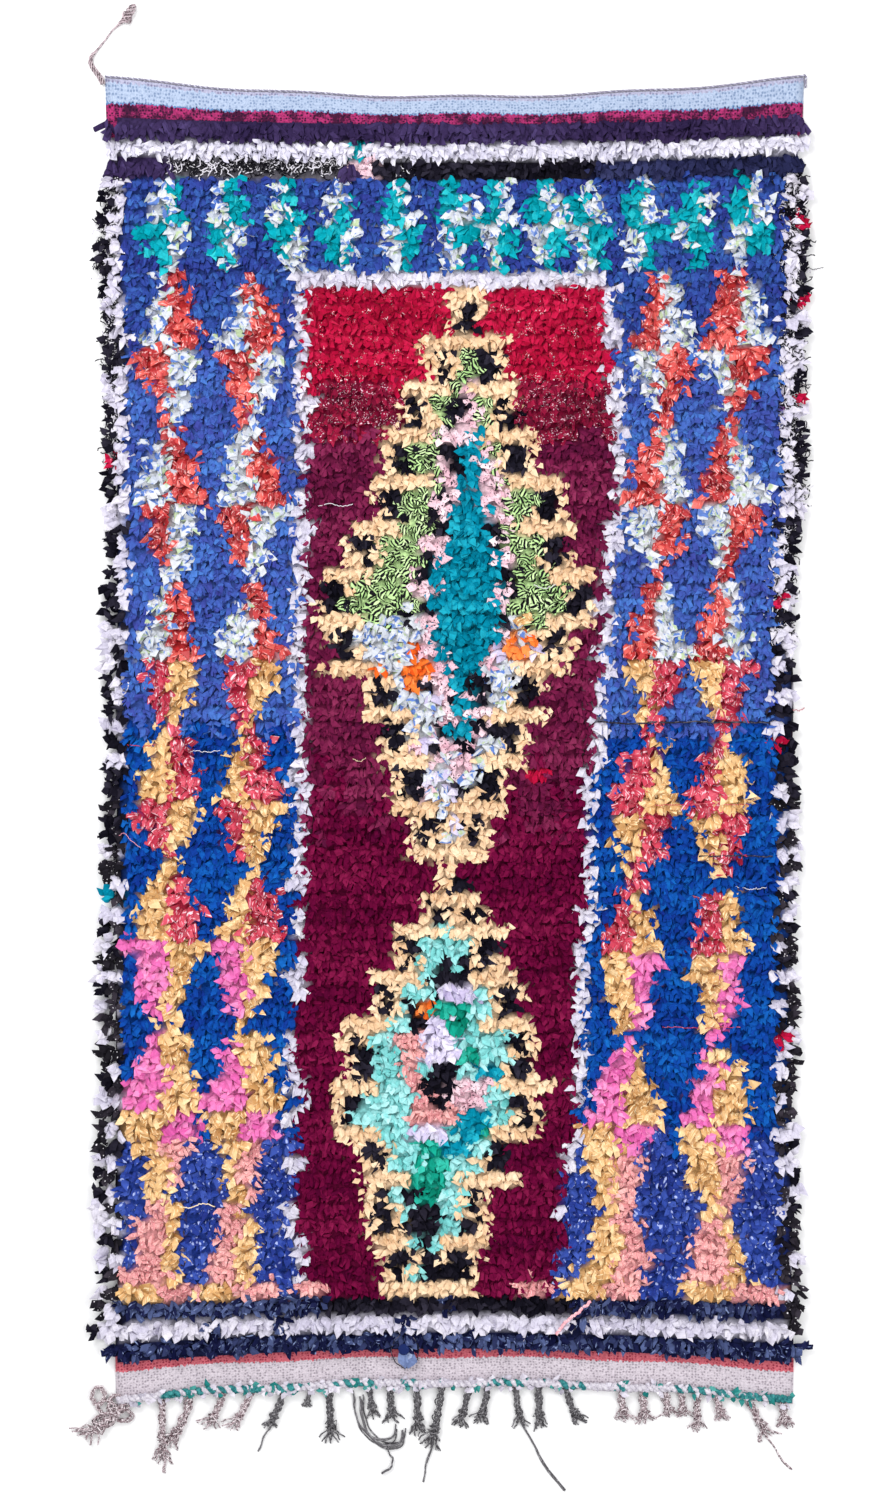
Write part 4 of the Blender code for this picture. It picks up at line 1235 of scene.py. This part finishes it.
LOOSE_ENDS = (
    # yarn, radius, points across and along and up
    ("pink", 0.0007, ((-0.646, -0.182, 0.020), (-0.634, -0.176, 0.023), (-0.622, -0.192, 0.024),
                      (-0.604, -0.206, 0.021))),
    ("cream", 0.0012, ((-0.534, -0.893, 0.022), (-0.512, -0.899, 0.026), (-0.486, -0.888, 0.026),
                       (-0.461, -0.896, 0.021))),
    ("black", 0.0018, ((0.275, 0.037, 0.022), (0.34, 0.033, 0.025), (0.40, 0.036, 0.025),
                       (0.54, 0.037, 0.025), (0.605, 0.035, 0.022))),
    ("black", 0.0014, ((0.470, -0.222, 0.022), (0.53, -0.220, 0.025), (0.612, -0.222, 0.022))),
    ("white", 0.0007, ((-0.512, -0.022, 0.020), (-0.498, -0.018, 0.023), (-0.474, -0.022, 0.024),
                       (-0.450, -0.018, 0.020))),
    ("white", 0.0007, ((0.541, -0.280, 0.020), (0.566, -0.286, 0.024), (0.600, -0.282, 0.021))),
    ("red", 0.0007, ((0.34, -0.120, 0.021), (0.42, -0.123, 0.023), (0.50, -0.121, 0.023),
                     (0.57, -0.124, 0.021))),
    ("red", 0.0007, ((-0.63, -0.007, 0.020), (-0.60, -0.011, 0.023), (-0.575, -0.006, 0.021))),
    ("red", 0.0007, ((0.40, -0.550, 0.021), (0.48, -0.553, 0.023), (0.55, -0.551, 0.021))),
    ("black", 0.0010, ((-0.104, -1.140, 0.024), (-0.122, -1.160, 0.026), (-0.120, -1.192, 0.016),
                       (-0.096, -1.212, 0.008),
                       (-0.072, -1.196, 0.012), (-0.068, -1.164, 0.024), (-0.080, -1.146, 0.026))),
    ("pink", 0.0032, ((0.262, -1.078, 0.024), (0.238, -1.098, 0.028), (0.214, -1.116, 0.029),
                      (0.196, -1.142, 0.024))),
    ("black", 0.0007, ((0.652, 0.908, 0.010), (0.675, 0.914, 0.006), (0.694, 0.909, 0.0022),
                       (0.712, 0.914, 0.0022))),
    ("black", 0.0007, ((0.650, 0.690, 0.010), (0.668, 0.686, 0.006), (0.688, 0.688, 0.0022))),
    ("white", 0.0007, ((0.655, 0.494, 0.010), (0.676, 0.488, 0.006), (0.696, 0.492, 0.0022))),
    ("red", 0.0007, ((0.650, 0.060, 0.010), (0.664, 0.058, 0.006), (0.676, 0.064, 0.0022))),
    ("white", 0.0007, ((0.152, 0.300, 0.020), (0.176, 0.293, 0.023), (0.196, 0.302, 0.021))),
    ("white", 0.0007, ((-0.262, 0.452, 0.020), (-0.238, 0.458, 0.023), (-0.214, 0.450, 0.022),
                       (-0.196, 0.456, 0.021))),
    ("cream", 0.0007, ((-0.196, -0.034, 0.020), (-0.182, -0.040, 0.023), (-0.171, -0.032, 0.021))),
)
THREAD_DYES = {
    # dark and pale colour, fleck
    "pink": ("#d8849c", "#eea8b4", "#fbd0d4"),
    "cream": ("#d8b890", "#f0d8b0", "#fff4e0"),
    "black": ("#15141c", "#2c2a36", "#5c5866"),
    "white": ("#d4d0da", "#f2f0f6", "#ffffff"),
    "red": ("#a02038", "#cc3048", "#e88890"),
}
THREAD_STEPS = 26


def lengths_along(path):
    """How far along a path each of its points is."""
    return np.concatenate([[0], np.cumsum(np.linalg.norm(np.diff(path, axis=0), axis=1))])


def eased(stops, count):
    """A smooth path of count points through a few stops, as chords rounded off twice."""
    stops = np.asarray(stops, float)
    length = lengths_along(stops[:, :2])
    even = np.linspace(0, length[-1], count)
    path = np.stack([np.interp(even, length, column) for column in stops.T], -1)
    for _ in range(max(2, count // (2 * len(stops)))):
        path[1:-1] = (path[:-2] + 2 * path[1:-1] + path[2:]) / 4
    return path


thread_rng = np.random.default_rng(33)
for dye, colours in THREAD_DYES.items():
    drawn = [(radius, eased(stops, THREAD_STEPS)) for yarn, radius, stops in LOOSE_ENDS if yarn == dye]
    paths = np.stack([path for _, path in drawn])
    paths[:, 1:-1, :2] += thread_rng.normal(0, 0.0009, paths[:, 1:-1, :2].shape)
    size = np.array([radius for radius, _ in drawn])[:, None]
    thread_wool = yarn_material(dye + "_spun_thread", *colours, 0.55, size=0.004)
    thread_tones = thread_rng.random(len(paths))
    yarn_piece(dye + "_loose_threads", paths, size, thread_wool, 0.004, thread_tones, "rag_pile")

# One rag hangs out of the last row over the off-white band: the end of a jeans hem, pale inside,
# with the dark roll of its seam on top.

HEM_AT = np.array([[-0.0975, -1.1640]])
# The heights of the roll's rings and their radii
HEM_HEIGHTS = (0.0160, 0.0250, 0.0275, 0.0285)
HEM_RADII = (0.0090, 0.0112, 0.0098, 0.0060)
hem_cotton = plain_cotton("jeans_hem_cotton", ("#5c6c9c", "#8496c0", "#b4c0dc"))
rag_flaps("hem_rag", HEM_AT, np.array([NAP]), hem_cotton, 5, 0.026, 0.036, spread=0.12,
          lift=(15, 40), droop=(-30, -10), foot_z=0.014, seed=38)
hem_roll = np.array([[[HEM_AT[0, 0], HEM_AT[0, 1] - 0.006, height] for height in HEM_HEIGHTS]])
seam_cotton = yarn_material("jeans_seam_cotton", "#121c44", "#20306a", "#465a98", 0.66, size=0.004)
yarn_piece("hem_seam_roll", hem_roll, np.array([HEM_RADII]), seam_cotton, 0.004, [0.5], "rag_pile", 14)

# The top edge: a two-ply grey and white yarn that the last warps are turned over, sewn along the
# blue end and carried down round its right corner.

EDGE_CORD_RADIUS = 0.0026
EDGE_CORD_AWAY = EDGE_CORD_RADIUS + 0.0006
PLY_PITCH = 0.011
# Points along the top edge, round the corner and down the side
CORD_POINTS, CORNER_POINTS, DOWN_POINTS = 600, 16, 14


def plied(path, offset, pitch, plies):
    """Paths of plies that wind round a path, offset from its middle, once in each pitch."""
    turn = 2 * np.pi * (lengths_along(path) / pitch + np.arange(plies)[:, None] / plies)
    side = level_sides(path[None])[0]
    up = np.array([0, 0, 1.0])
    offset = np.broadcast_to(offset, len(path))
    return path + (side * (np.cos(turn) * offset)[..., None] + up * (np.sin(turn) * offset)[..., None])


cord_x, cord_y = woven_point(np.linspace(-1, 1, CORD_POINTS), TOP_LINE)
corner_turn = np.radians(np.linspace(80, 0, CORNER_POINTS))
corner_away = EDGE_CORD_AWAY * 1.3
corner_x = cord_x[-1] + corner_away * np.cos(corner_turn)
corner_y = cord_y[-1] + corner_away * np.sin(corner_turn)
down_y = cord_y[-1] - np.linspace(0.002, 0.020, DOWN_POINTS)
down_x = np.full(DOWN_POINTS, woven_point(1.0, TOP_LINE - 0.02)[0] + corner_away)
path_x = np.concatenate([cord_x, corner_x, down_x])
path_y = np.concatenate([cord_y + EDGE_CORD_AWAY, corner_y, down_y])
cord_path = np.stack([path_x, path_y, np.full(len(path_x), EDGE_CORD_RADIUS)], -1)
cord_plies = plied(cord_path, EDGE_CORD_RADIUS * 0.42, PLY_PITCH, 2)
ply_radius = EDGE_CORD_RADIUS * 0.58
edge_wool = yarn_material("grey_and_white_wool_ply", "#78768a", "#bcbccc", "#8c8698", 0.5, size=0.004)
yarn_piece("edge_cord", cord_plies, ply_radius, edge_wool, 0.0015, [0.1, 0.9], "top_edge_cord")

# The lower edge: green and white rags twined over and under the warps to lock the weave. The two
# strands wind round each other, and each shows as a slanting leaf where it comes over.

STRIP_WIDTH = 0.010
STRIP_TOP = 0.003
TWINE_MIDDLE = 0.0110
TWINE_OUT = 0.0002
TWINE_PITCH = 0.022
TWINE_RAG_RADIUS = 0.0047
TWINE_LENGTH = 1.31
LEAVES_TO_A_TURN = 0.8
TWINE_POINTS = 620
TWINE_CORNERS = 7
# The rag swells and thins every so many points
SWELL_POINTS = 4
# Of the two strands, the first is green more often
GREEN_STRANDS = np.array([[1.25], [0.55]])


def strip_point(across, out):
    """A point out metres beyond the cloth's lower edge, with across from -1 to 1."""
    x, y = woven_point(across, FOOT_LINE)
    return x, y - 0.0006 - out


twine_rng = np.random.default_rng(41)
twine_x, twine_y = strip_point(np.linspace(-0.995, 0.995, TWINE_POINTS), TWINE_OUT)
twine_path = np.stack([twine_x, twine_y, np.full(TWINE_POINTS, TWINE_MIDDLE)], -1)
strands = plied(twine_path, 0.0034, TWINE_PITCH, 2)
strands += twine_rng.normal(0, 0.0006, strands.shape)
length_share = np.arange(TWINE_POINTS) / TWINE_POINTS
swell = twine_rng.uniform(0.62, 1.2, (2, TWINE_POINTS // SWELL_POINTS + 1))
swell = np.repeat(swell, SWELL_POINTS, axis=1)[:, :TWINE_POINTS]
swell = (swell + np.roll(swell, 2, axis=1) + np.roll(swell, -2, axis=1)) / 3
angle = -np.arange(TWINE_CORNERS) / TWINE_CORNERS * 2 * np.pi
twined_points, walls, caps, round_wall, along_wall = sweep(
    strands,
    level_sides(strands),
    (TWINE_RAG_RADIUS * 1.12 * swell)[..., None] * -np.cos(angle),
    (TWINE_RAG_RADIUS * 0.92 * swell)[..., None] * -np.sin(angle),
)
twined_points += twine_rng.normal(0, 0.0004, twined_points.shape)
# The rags are joined end to end, so either strand is green for a stretch and then white
greens = np.array([0.0, 0.5, 0.55, 0.6, 0.35, 0.5, 0.32, 0.1, 0.35, 0.8, 0.2, 0.1, 0.4, 0.45, 0.95, 0.75])
stretch = np.interp(length_share, np.linspace(0, 1, len(greens)), greens)
leaf = np.floor(length_share * TWINE_LENGTH / TWINE_PITCH * LEAVES_TO_A_TURN).astype(int)
green = twine_rng.random((2, leaf.max() + 1))[:, leaf] < stretch * GREEN_STRANDS
green = np.repeat(green.ravel(), TWINE_CORNERS).astype(float)
twine_cotton, tree, shader = new_material("green_and_white_rag", roughness=0.9, specular_ior_level=0.12)
greenness = add(tree, "Attribute", attribute_name="green").outputs["Fac"]
place = add(tree, "TexCoord").outputs["Object"]
# One noise makes the folds' bump and also darkens the rag's colour in their hollows, as painted shade
fold_bump_and_painted_shade = noise(tree, place, 190.0)
green_rag = add(tree, "ValToRGB", {0: fold_bump_and_painted_shade}, [(0.3, "#115058"), (0.7, "#48999a")]).outputs[0]
white_rag = add(tree, "ValToRGB", {0: fold_bump_and_painted_shade}, [(0.3, "#aca5b3"), (0.7, "#dcd8e0")]).outputs[0]
tree.links.new(blended(tree, greenness, white_rag, green_rag), shader.inputs["Base Color"])
bumped(tree, shader, fold_bump_and_painted_shade, 0.8, 0.0015)
twined = mesh_object("twined_rags", twined_points, [walls, caps], twine_cotton, green=green)
stand_in(twined, "twined_edge")
# Their torn edges stick out between the turns as small leaves, green and white
LEAVES = (
    # name, dyes, leaves
    ("green", ("#105558", "#2a807c", "#5ea8a3"), 190),
    ("white", ("#aaa6b4", "#c8c2d0", "#e2dee8"), 170),
)
for number, (dye, dyes, leaves) in enumerate(LEAVES):
    leaf_cotton = plain_cotton(dye + "_leaf_cotton", dyes)
    along = twine_rng.choice(TWINE_POINTS, leaves)
    if dye == "green":
        along = along[twine_rng.random(leaves) < stretch[along]]
    leaf_at = twine_path[along][:, :2]
    leaf_lean = np.where(twine_rng.random(len(along)) < 0.3, 0.12, -0.42) * np.pi
    rag_flaps(dye + "_leaves", leaf_at, leaf_lean, leaf_cotton, 1, 0.0120, 0.011, 3, 0.6, 0.5,
              lift=(15, 45), droop=(-50, 0), foot_z=0.013, node="twined_edge", seed=44 + number)

# The tassels: warps left long past the twining, gathered in bundles of about a dozen, braided in
# three, knotted and left to fray. The yarn is two-tone, mauve brown at the sides and grey between.

TASSELS = (
    # root across, drift of the tip, bend, length, width
    (-0.6320, -0.086, 1.2, 0.078, 0.017),
    (-0.5626, 0.000, 1.0, 0.133, 0.013),
    (-0.5086, -0.044, 1.6, 0.108, 0.013),
    (-0.4449, -0.032, 1.3, 0.077, 0.013),
    (-0.3908, -0.040, 1.2, 0.081, 0.012),
    (-0.3271, -0.033, 1.1, 0.079, 0.012),
    (-0.2770, -0.010, 1.0, 0.040, 0.007),
    (-0.2422, 0.006, 1.0, 0.111, 0.013),
    (-0.1650, 0.010, 1.4, 0.070, 0.010),
    (-0.1245, 0.004, 1.0, 0.077, 0.012),
    (-0.0724, 0.002, 1.0, 0.101, 0.012),
    (-0.0241, -0.022, 1.3, 0.123, 0.014),
    (0.0299, -0.022, 1.0, 0.085, 0.012),
    (0.0650, -0.016, 1.3, 0.079, 0.012),
    (0.1187, 0.010, 1.4, 0.087, 0.011),
    (0.1620, 0.002, 1.0, 0.093, 0.012),
    (0.2152, 0.027, 1.4, 0.077, 0.012),
    (0.3213, 0.006, 1.2, 0.067, 0.013),
    (0.3620, 0.004, 1.0, 0.069, 0.013),
    (0.4040, 0.010, 1.0, 0.056, 0.012),
    (0.4352, 0.006, 1.0, 0.054, 0.011),
    (0.4680, 0.000, 1.0, 0.081, 0.012),
    (0.5030, 0.014, 1.0, 0.056, 0.012),
    (0.5665, 0.040, 1.2, 0.083, 0.013),
    (0.6320, 0.006, 1.0, 0.058, 0.014),
)
# A few of them run on in a thin tail, by their root: how far it drifts, and its length
TAILS = {
    -0.5626: (0.004, 0.020),
    -0.3271: (-0.020, 0.046),
    -0.0241: (-0.016, 0.068),
    0.1187: (0.082, 0.124),
    0.5665: (0.044, 0.060),
}
GREY_FROM, GREY_TO = -0.36, 0.26
BUNDLE_YARNS = 12
BUNDLE_RINGS = 35
LOOP_YARNS = 9
WARP_RADIUS = 0.0014
KNOT_SHARE = 0.69
tassel_rng = np.random.default_rng(52)


def tassel_yarns(root, drift, bend, length, width):
    """A bundle's yarns: three braided strands swing from side to side down to the knot, where each
    yarn loops out wide, and below it the ends spread and curl on the floor."""
    share = np.linspace(0, 1, BUNDLE_RINGS)
    long = length - STRIP_WIDTH + 0.008
    yarn = np.arange(BUNDLE_YARNS)
    strand = yarn % 3
    swing = 2 * np.pi * (share * max(2.0, long / 0.030) + strand[:, None] / 3)
    knot = np.exp(-(((share - KNOT_SHARE) / 0.07) ** 2))
    frayed = np.clip((share - 0.76) / 0.24, 0, 1)
    half = width * 0.62
    loops = np.sin(yarn[:, None] * 2.4 + share * 55) * knot
    fan = (yarn / (BUNDLE_YARNS - 1) - 0.5)[tassel_rng.permutation(BUNDLE_YARNS)][:, None]
    own = tassel_rng.normal(0, half * 0.28, (BUNDLE_YARNS, 1))
    aside = half * (0.52 * np.sin(swing) + 0.75 * loops) * (1 - 0.6 * frayed) + own
    wander = np.cumsum(tassel_rng.normal(0, 0.0006, aside.shape), 1)
    aside = aside + fan * frayed * width * 2.9 + wander * frayed
    rise = half * (0.42 * np.sin(2 * swing + 0.7) + 0.5 * np.cos(yarn[:, None] * 3.1 + share * 47) * knot)
    middle_x, middle_y = strip_point(root / ground_half_width(FOOT_LINE), STRIP_WIDTH - 0.008)
    ends = tassel_rng.uniform(0.86, 1.04, (BUNDLE_YARNS, 1))
    x = middle_x + drift * share**bend + aside
    y = middle_y - long * (share * np.where(share > KNOT_SHARE, ends, 1.0))
    y = y + drift / long * bend * aside * 0.5 + half * 0.6 * np.cos(yarn[:, None] * 2.4 + share * 55) * knot
    z = np.maximum(half * (1 - 0.7 * frayed) + rise + own * 0.3, WARP_RADIUS)
    from_strip = np.clip(share / 0.12, 0, 1)
    z = z * from_strip + (STRIP_TOP + WARP_RADIUS) * (1 - from_strip)
    return np.stack([x, y, np.clip(z, WARP_RADIUS, 0.0150)], -1)


def tail_yarns(root, drift, bend, length, tail_drift, tail_length):
    """A few yarns that run on past the frayed ends as one thin tail."""
    share = np.linspace(0, 1, BUNDLE_RINGS)
    middle_x, middle_y = strip_point(root / ground_half_width(FOOT_LINE), length * 0.74)
    reach = length * 0.26 + tail_length
    side = tassel_rng.normal(0, 0.0012, (3, 1))
    x = middle_x + drift * (0.76**bend) + (drift * (1 - 0.76**bend) + tail_drift) * share**1.3 + side
    wander = np.cumsum(tassel_rng.normal(0, 0.00025, (3, BUNDLE_RINGS)), 1)
    x = x + 0.0022 * np.sin(share * 9 + root * 40) + wander
    y = middle_y - reach * share + side
    z = WARP_RADIUS + 0.0030 * (1 - share) + np.zeros((3, 1))
    return np.stack([x, y, z], -1)


bundles = {"mauve_brown": [], "dark_grey": []}
for root, drift, bend, length, width in TASSELS:
    yarn = "dark_grey" if GREY_FROM < root < GREY_TO else "mauve_brown"
    bundles[yarn].append(tassel_yarns(root, drift, bend, length, width))
    if root in TAILS:
        bundles[yarn].append(tail_yarns(root, drift, bend, length, *TAILS[root]))
loop_turn = np.linspace(-0.5, 5.6, BUNDLE_RINGS)
for loop_x, loop_y, wide, tall in (
    # loops of unbraided warp at the left corner: middle, half width and half height
    (-0.655, -1.283, 0.012, 0.019),
    (-0.640, -1.300, 0.017, 0.011),
    (-0.676, -1.311, 0.020, 0.009),
    (-0.687, -1.262, 0.012, 0.017),
    (-0.672, -1.284, 0.016, 0.013),
):
    ring = np.stack([loop_x + wide * np.cos(loop_turn), loop_y + tall * np.sin(loop_turn)], -1)
    paths = ring + tassel_rng.normal(0, 0.0018, (LOOP_YARNS, 1, 2)) + 0.0012 * np.sin(loop_turn * 7)[:, None]
    height = 0.0055 + tassel_rng.uniform(-0.004, 0.004, (LOOP_YARNS, 1, 1))
    height = height + 0.001 * np.sin(loop_turn * 3)[:, None]
    bundles["mauve_brown"].append(np.concatenate([paths, height], -1))
# One bundle was never braided: it lies in a slack bow and ends in a thin curling tail
SLACK_BOW = (
    (-0.184, -1.262),
    (-0.181, -1.305),
    (-0.166, -1.338),
    (-0.136, -1.358),
    (-0.106, -1.352),
    (-0.101, -1.326),
)
CURLING_TAIL = (
    (-0.124, -1.352),
    (-0.130, -1.368),
    (-0.118, -1.384),
    (-0.122, -1.402),
    (-0.140, -1.412),
)
crimp = np.sin(np.linspace(0, 30, BUNDLE_RINGS))[:, None] * 0.0008
for stops, count, loose in ((SLACK_BOW, 9, 0.0072), (CURLING_TAIL, 4, 0.0010)):
    paths = eased(stops, BUNDLE_RINGS) + tassel_rng.normal(0, loose, (count, 1, 2)) + crimp
    height = np.broadcast_to(tassel_rng.uniform(0.0015, 0.007, (count, 1, 1)), (count, BUNDLE_RINGS, 1))
    bundles["dark_grey"].append(np.concatenate([paths, height], -1))
brown_yarn = yarn_material("mauve_brown_warp_yarn", "#5c484e", "#a08c92", "#e2d8dc", 0.53, size=0.0042)
grey_yarn = yarn_material("grey_warp_yarn", "#4a484c", "#68666a", "#98969a", 0.58, size=0.0050)
warp_wools = {"mauve_brown": brown_yarn, "dark_grey": grey_yarn}
for dye, parts in bundles.items():
    paths = np.concatenate(parts)
    paths[..., 2] = np.maximum(paths[..., 2], WARP_RADIUS)
    tones = tassel_rng.random(len(paths))
    yarn_piece(dye + "_tassels", paths, WARP_RADIUS, warp_wools[dye], 0.0033, tones, "warp_fringe")

# Under the twining the wefts end, and the last centimetre is a strip of pale wool packed on the
# warps, with a ragged edge.

STRIP_LINES = 8
STRIP_COLUMNS = 260
STRIP_RAGGED = 0.004
strip_out, strip_across = np.meshgrid(
    np.linspace(STRIP_WIDTH, 0, STRIP_LINES), np.linspace(-1, 1, STRIP_COLUMNS), indexing="ij"
)
strip_x, strip_y = strip_point(strip_across, strip_out)
strip_rng = np.random.default_rng(61)
ragged = strip_rng.uniform(0, STRIP_RAGGED, STRIP_COLUMNS) * (strip_out > STRIP_WIDTH - 0.001)
strip_ribs = RIB_HEIGHT * (np.arange(STRIP_LINES)[:, None] % 2)
strip_high = STRIP_TOP - RIB_HEIGHT + strip_ribs + np.zeros_like(strip_x)
strip_top = np.stack([strip_x, strip_y + ragged, strip_high], -1)
strip_points, strip_faces = closed_sheet(strip_top, UNDERSIDE_LIFT)
strip_uv = np.tile(np.stack([strip_x, FOOT_LINE - strip_out], -1).reshape(-1, 2), (2, 1))
strip_maps = {"Weave": strip_uv[strip_faces[0].ravel()]}
strip_weave = mesh_object("warp_strip", strip_points, strip_faces, weave.data.materials[0], strip_maps)
stand_in(strip_weave, "warp_fringe")

# The corner tie: a bundle of warps left at the upper left corner. It is bound thick at first, goes
# on as one thin twisted thread, and ends in a knot of loops.

CORNER_TIE = (
    # across from the corner, along from the corner, half width
    (-0.0046, -0.0120, 0.0052),
    (-0.0092, 0.0010, 0.0060),
    (-0.0190, 0.0130, 0.0056),
    (-0.0285, 0.0280, 0.0050),
    (-0.0270, 0.0420, 0.0042),
    (-0.0160, 0.0540, 0.0024),
    (-0.0005, 0.0730, 0.0016),
    (0.0150, 0.0940, 0.0016),
    (0.0240, 0.1010, 0.0022),
    (0.0303, 0.1080, 0.0040),
    (0.0370, 0.1130, 0.0052),
    (0.0440, 0.1200, 0.0080),
    (0.0500, 0.1290, 0.0094),
    (0.0540, 0.1370, 0.0070),
    (0.0570, 0.1420, 0.0030),
)
TIE_RINGS = 90
TIE_YARN_RADIUS = 0.0012
# The knot of loops sits this many rings before the end
KNOT_RING = 14
tie_x, tie_y = woven_point(-1.0, TOP_LINE)
tie_stops = np.array(CORNER_TIE)
tie_length = lengths_along(tie_stops[:, :2])
tie_even = np.linspace(0, tie_length[-1], TIE_RINGS)
tie_wide = np.interp(tie_even, tie_length, tie_stops[:, 2])
tie_middle = eased(tie_stops, TIE_RINGS)[:, :2] + (tie_x, tie_y)
tie_path = np.concatenate([tie_middle, np.maximum(tie_wide, 0.002)[:, None]], 1)
tie_rng = np.random.default_rng(71)
tie_yarns = [
    plied(tie_path, np.maximum(tie_wide - 0.0011, 0.0006) * depth, 0.040, count)
    for depth, count in ((0.95, 5), (0.45, 2))
]
knot_turn = np.linspace(0.4, 6.4, TIE_RINGS)
for loop in range(7):
    wide, tall, tilt = tie_rng.uniform((0.004, 0.006, -0.9), (0.007, 0.0115, 0.3))
    along, aside = tall * np.sin(knot_turn), wide * np.cos(knot_turn)
    middle = tie_path[-KNOT_RING] + tie_rng.normal(0, 0.0022, 3) * (1, 1, 0)
    ring_x = aside * np.cos(tilt) - along * np.sin(tilt)
    ring_y = aside * np.sin(tilt) + along * np.cos(tilt)
    ring = np.stack([ring_x, ring_y], -1)
    height = np.clip(0.006 + 0.004 * np.sin(knot_turn * 2 + loop), 0.0014, 0.014)
    tie_yarns.append(np.concatenate([middle[:2] + ring, height[:, None]], -1)[None])
tie_paths = np.concatenate(tie_yarns)
tie_paths[..., 2] = np.maximum(tie_paths[..., 2], 0.0013)
pale_wool = yarn_material("pale_warp_yarn", "#9c8a90", "#cdbcc2", "#6e6268", 0.56, size=0.006)
tie_tones = tie_rng.random(len(tie_paths))
yarn_piece("corner_tie", tie_paths, TIE_YARN_RADIUS, pale_wool, 0.0019, tie_tones, "corner_tassel")
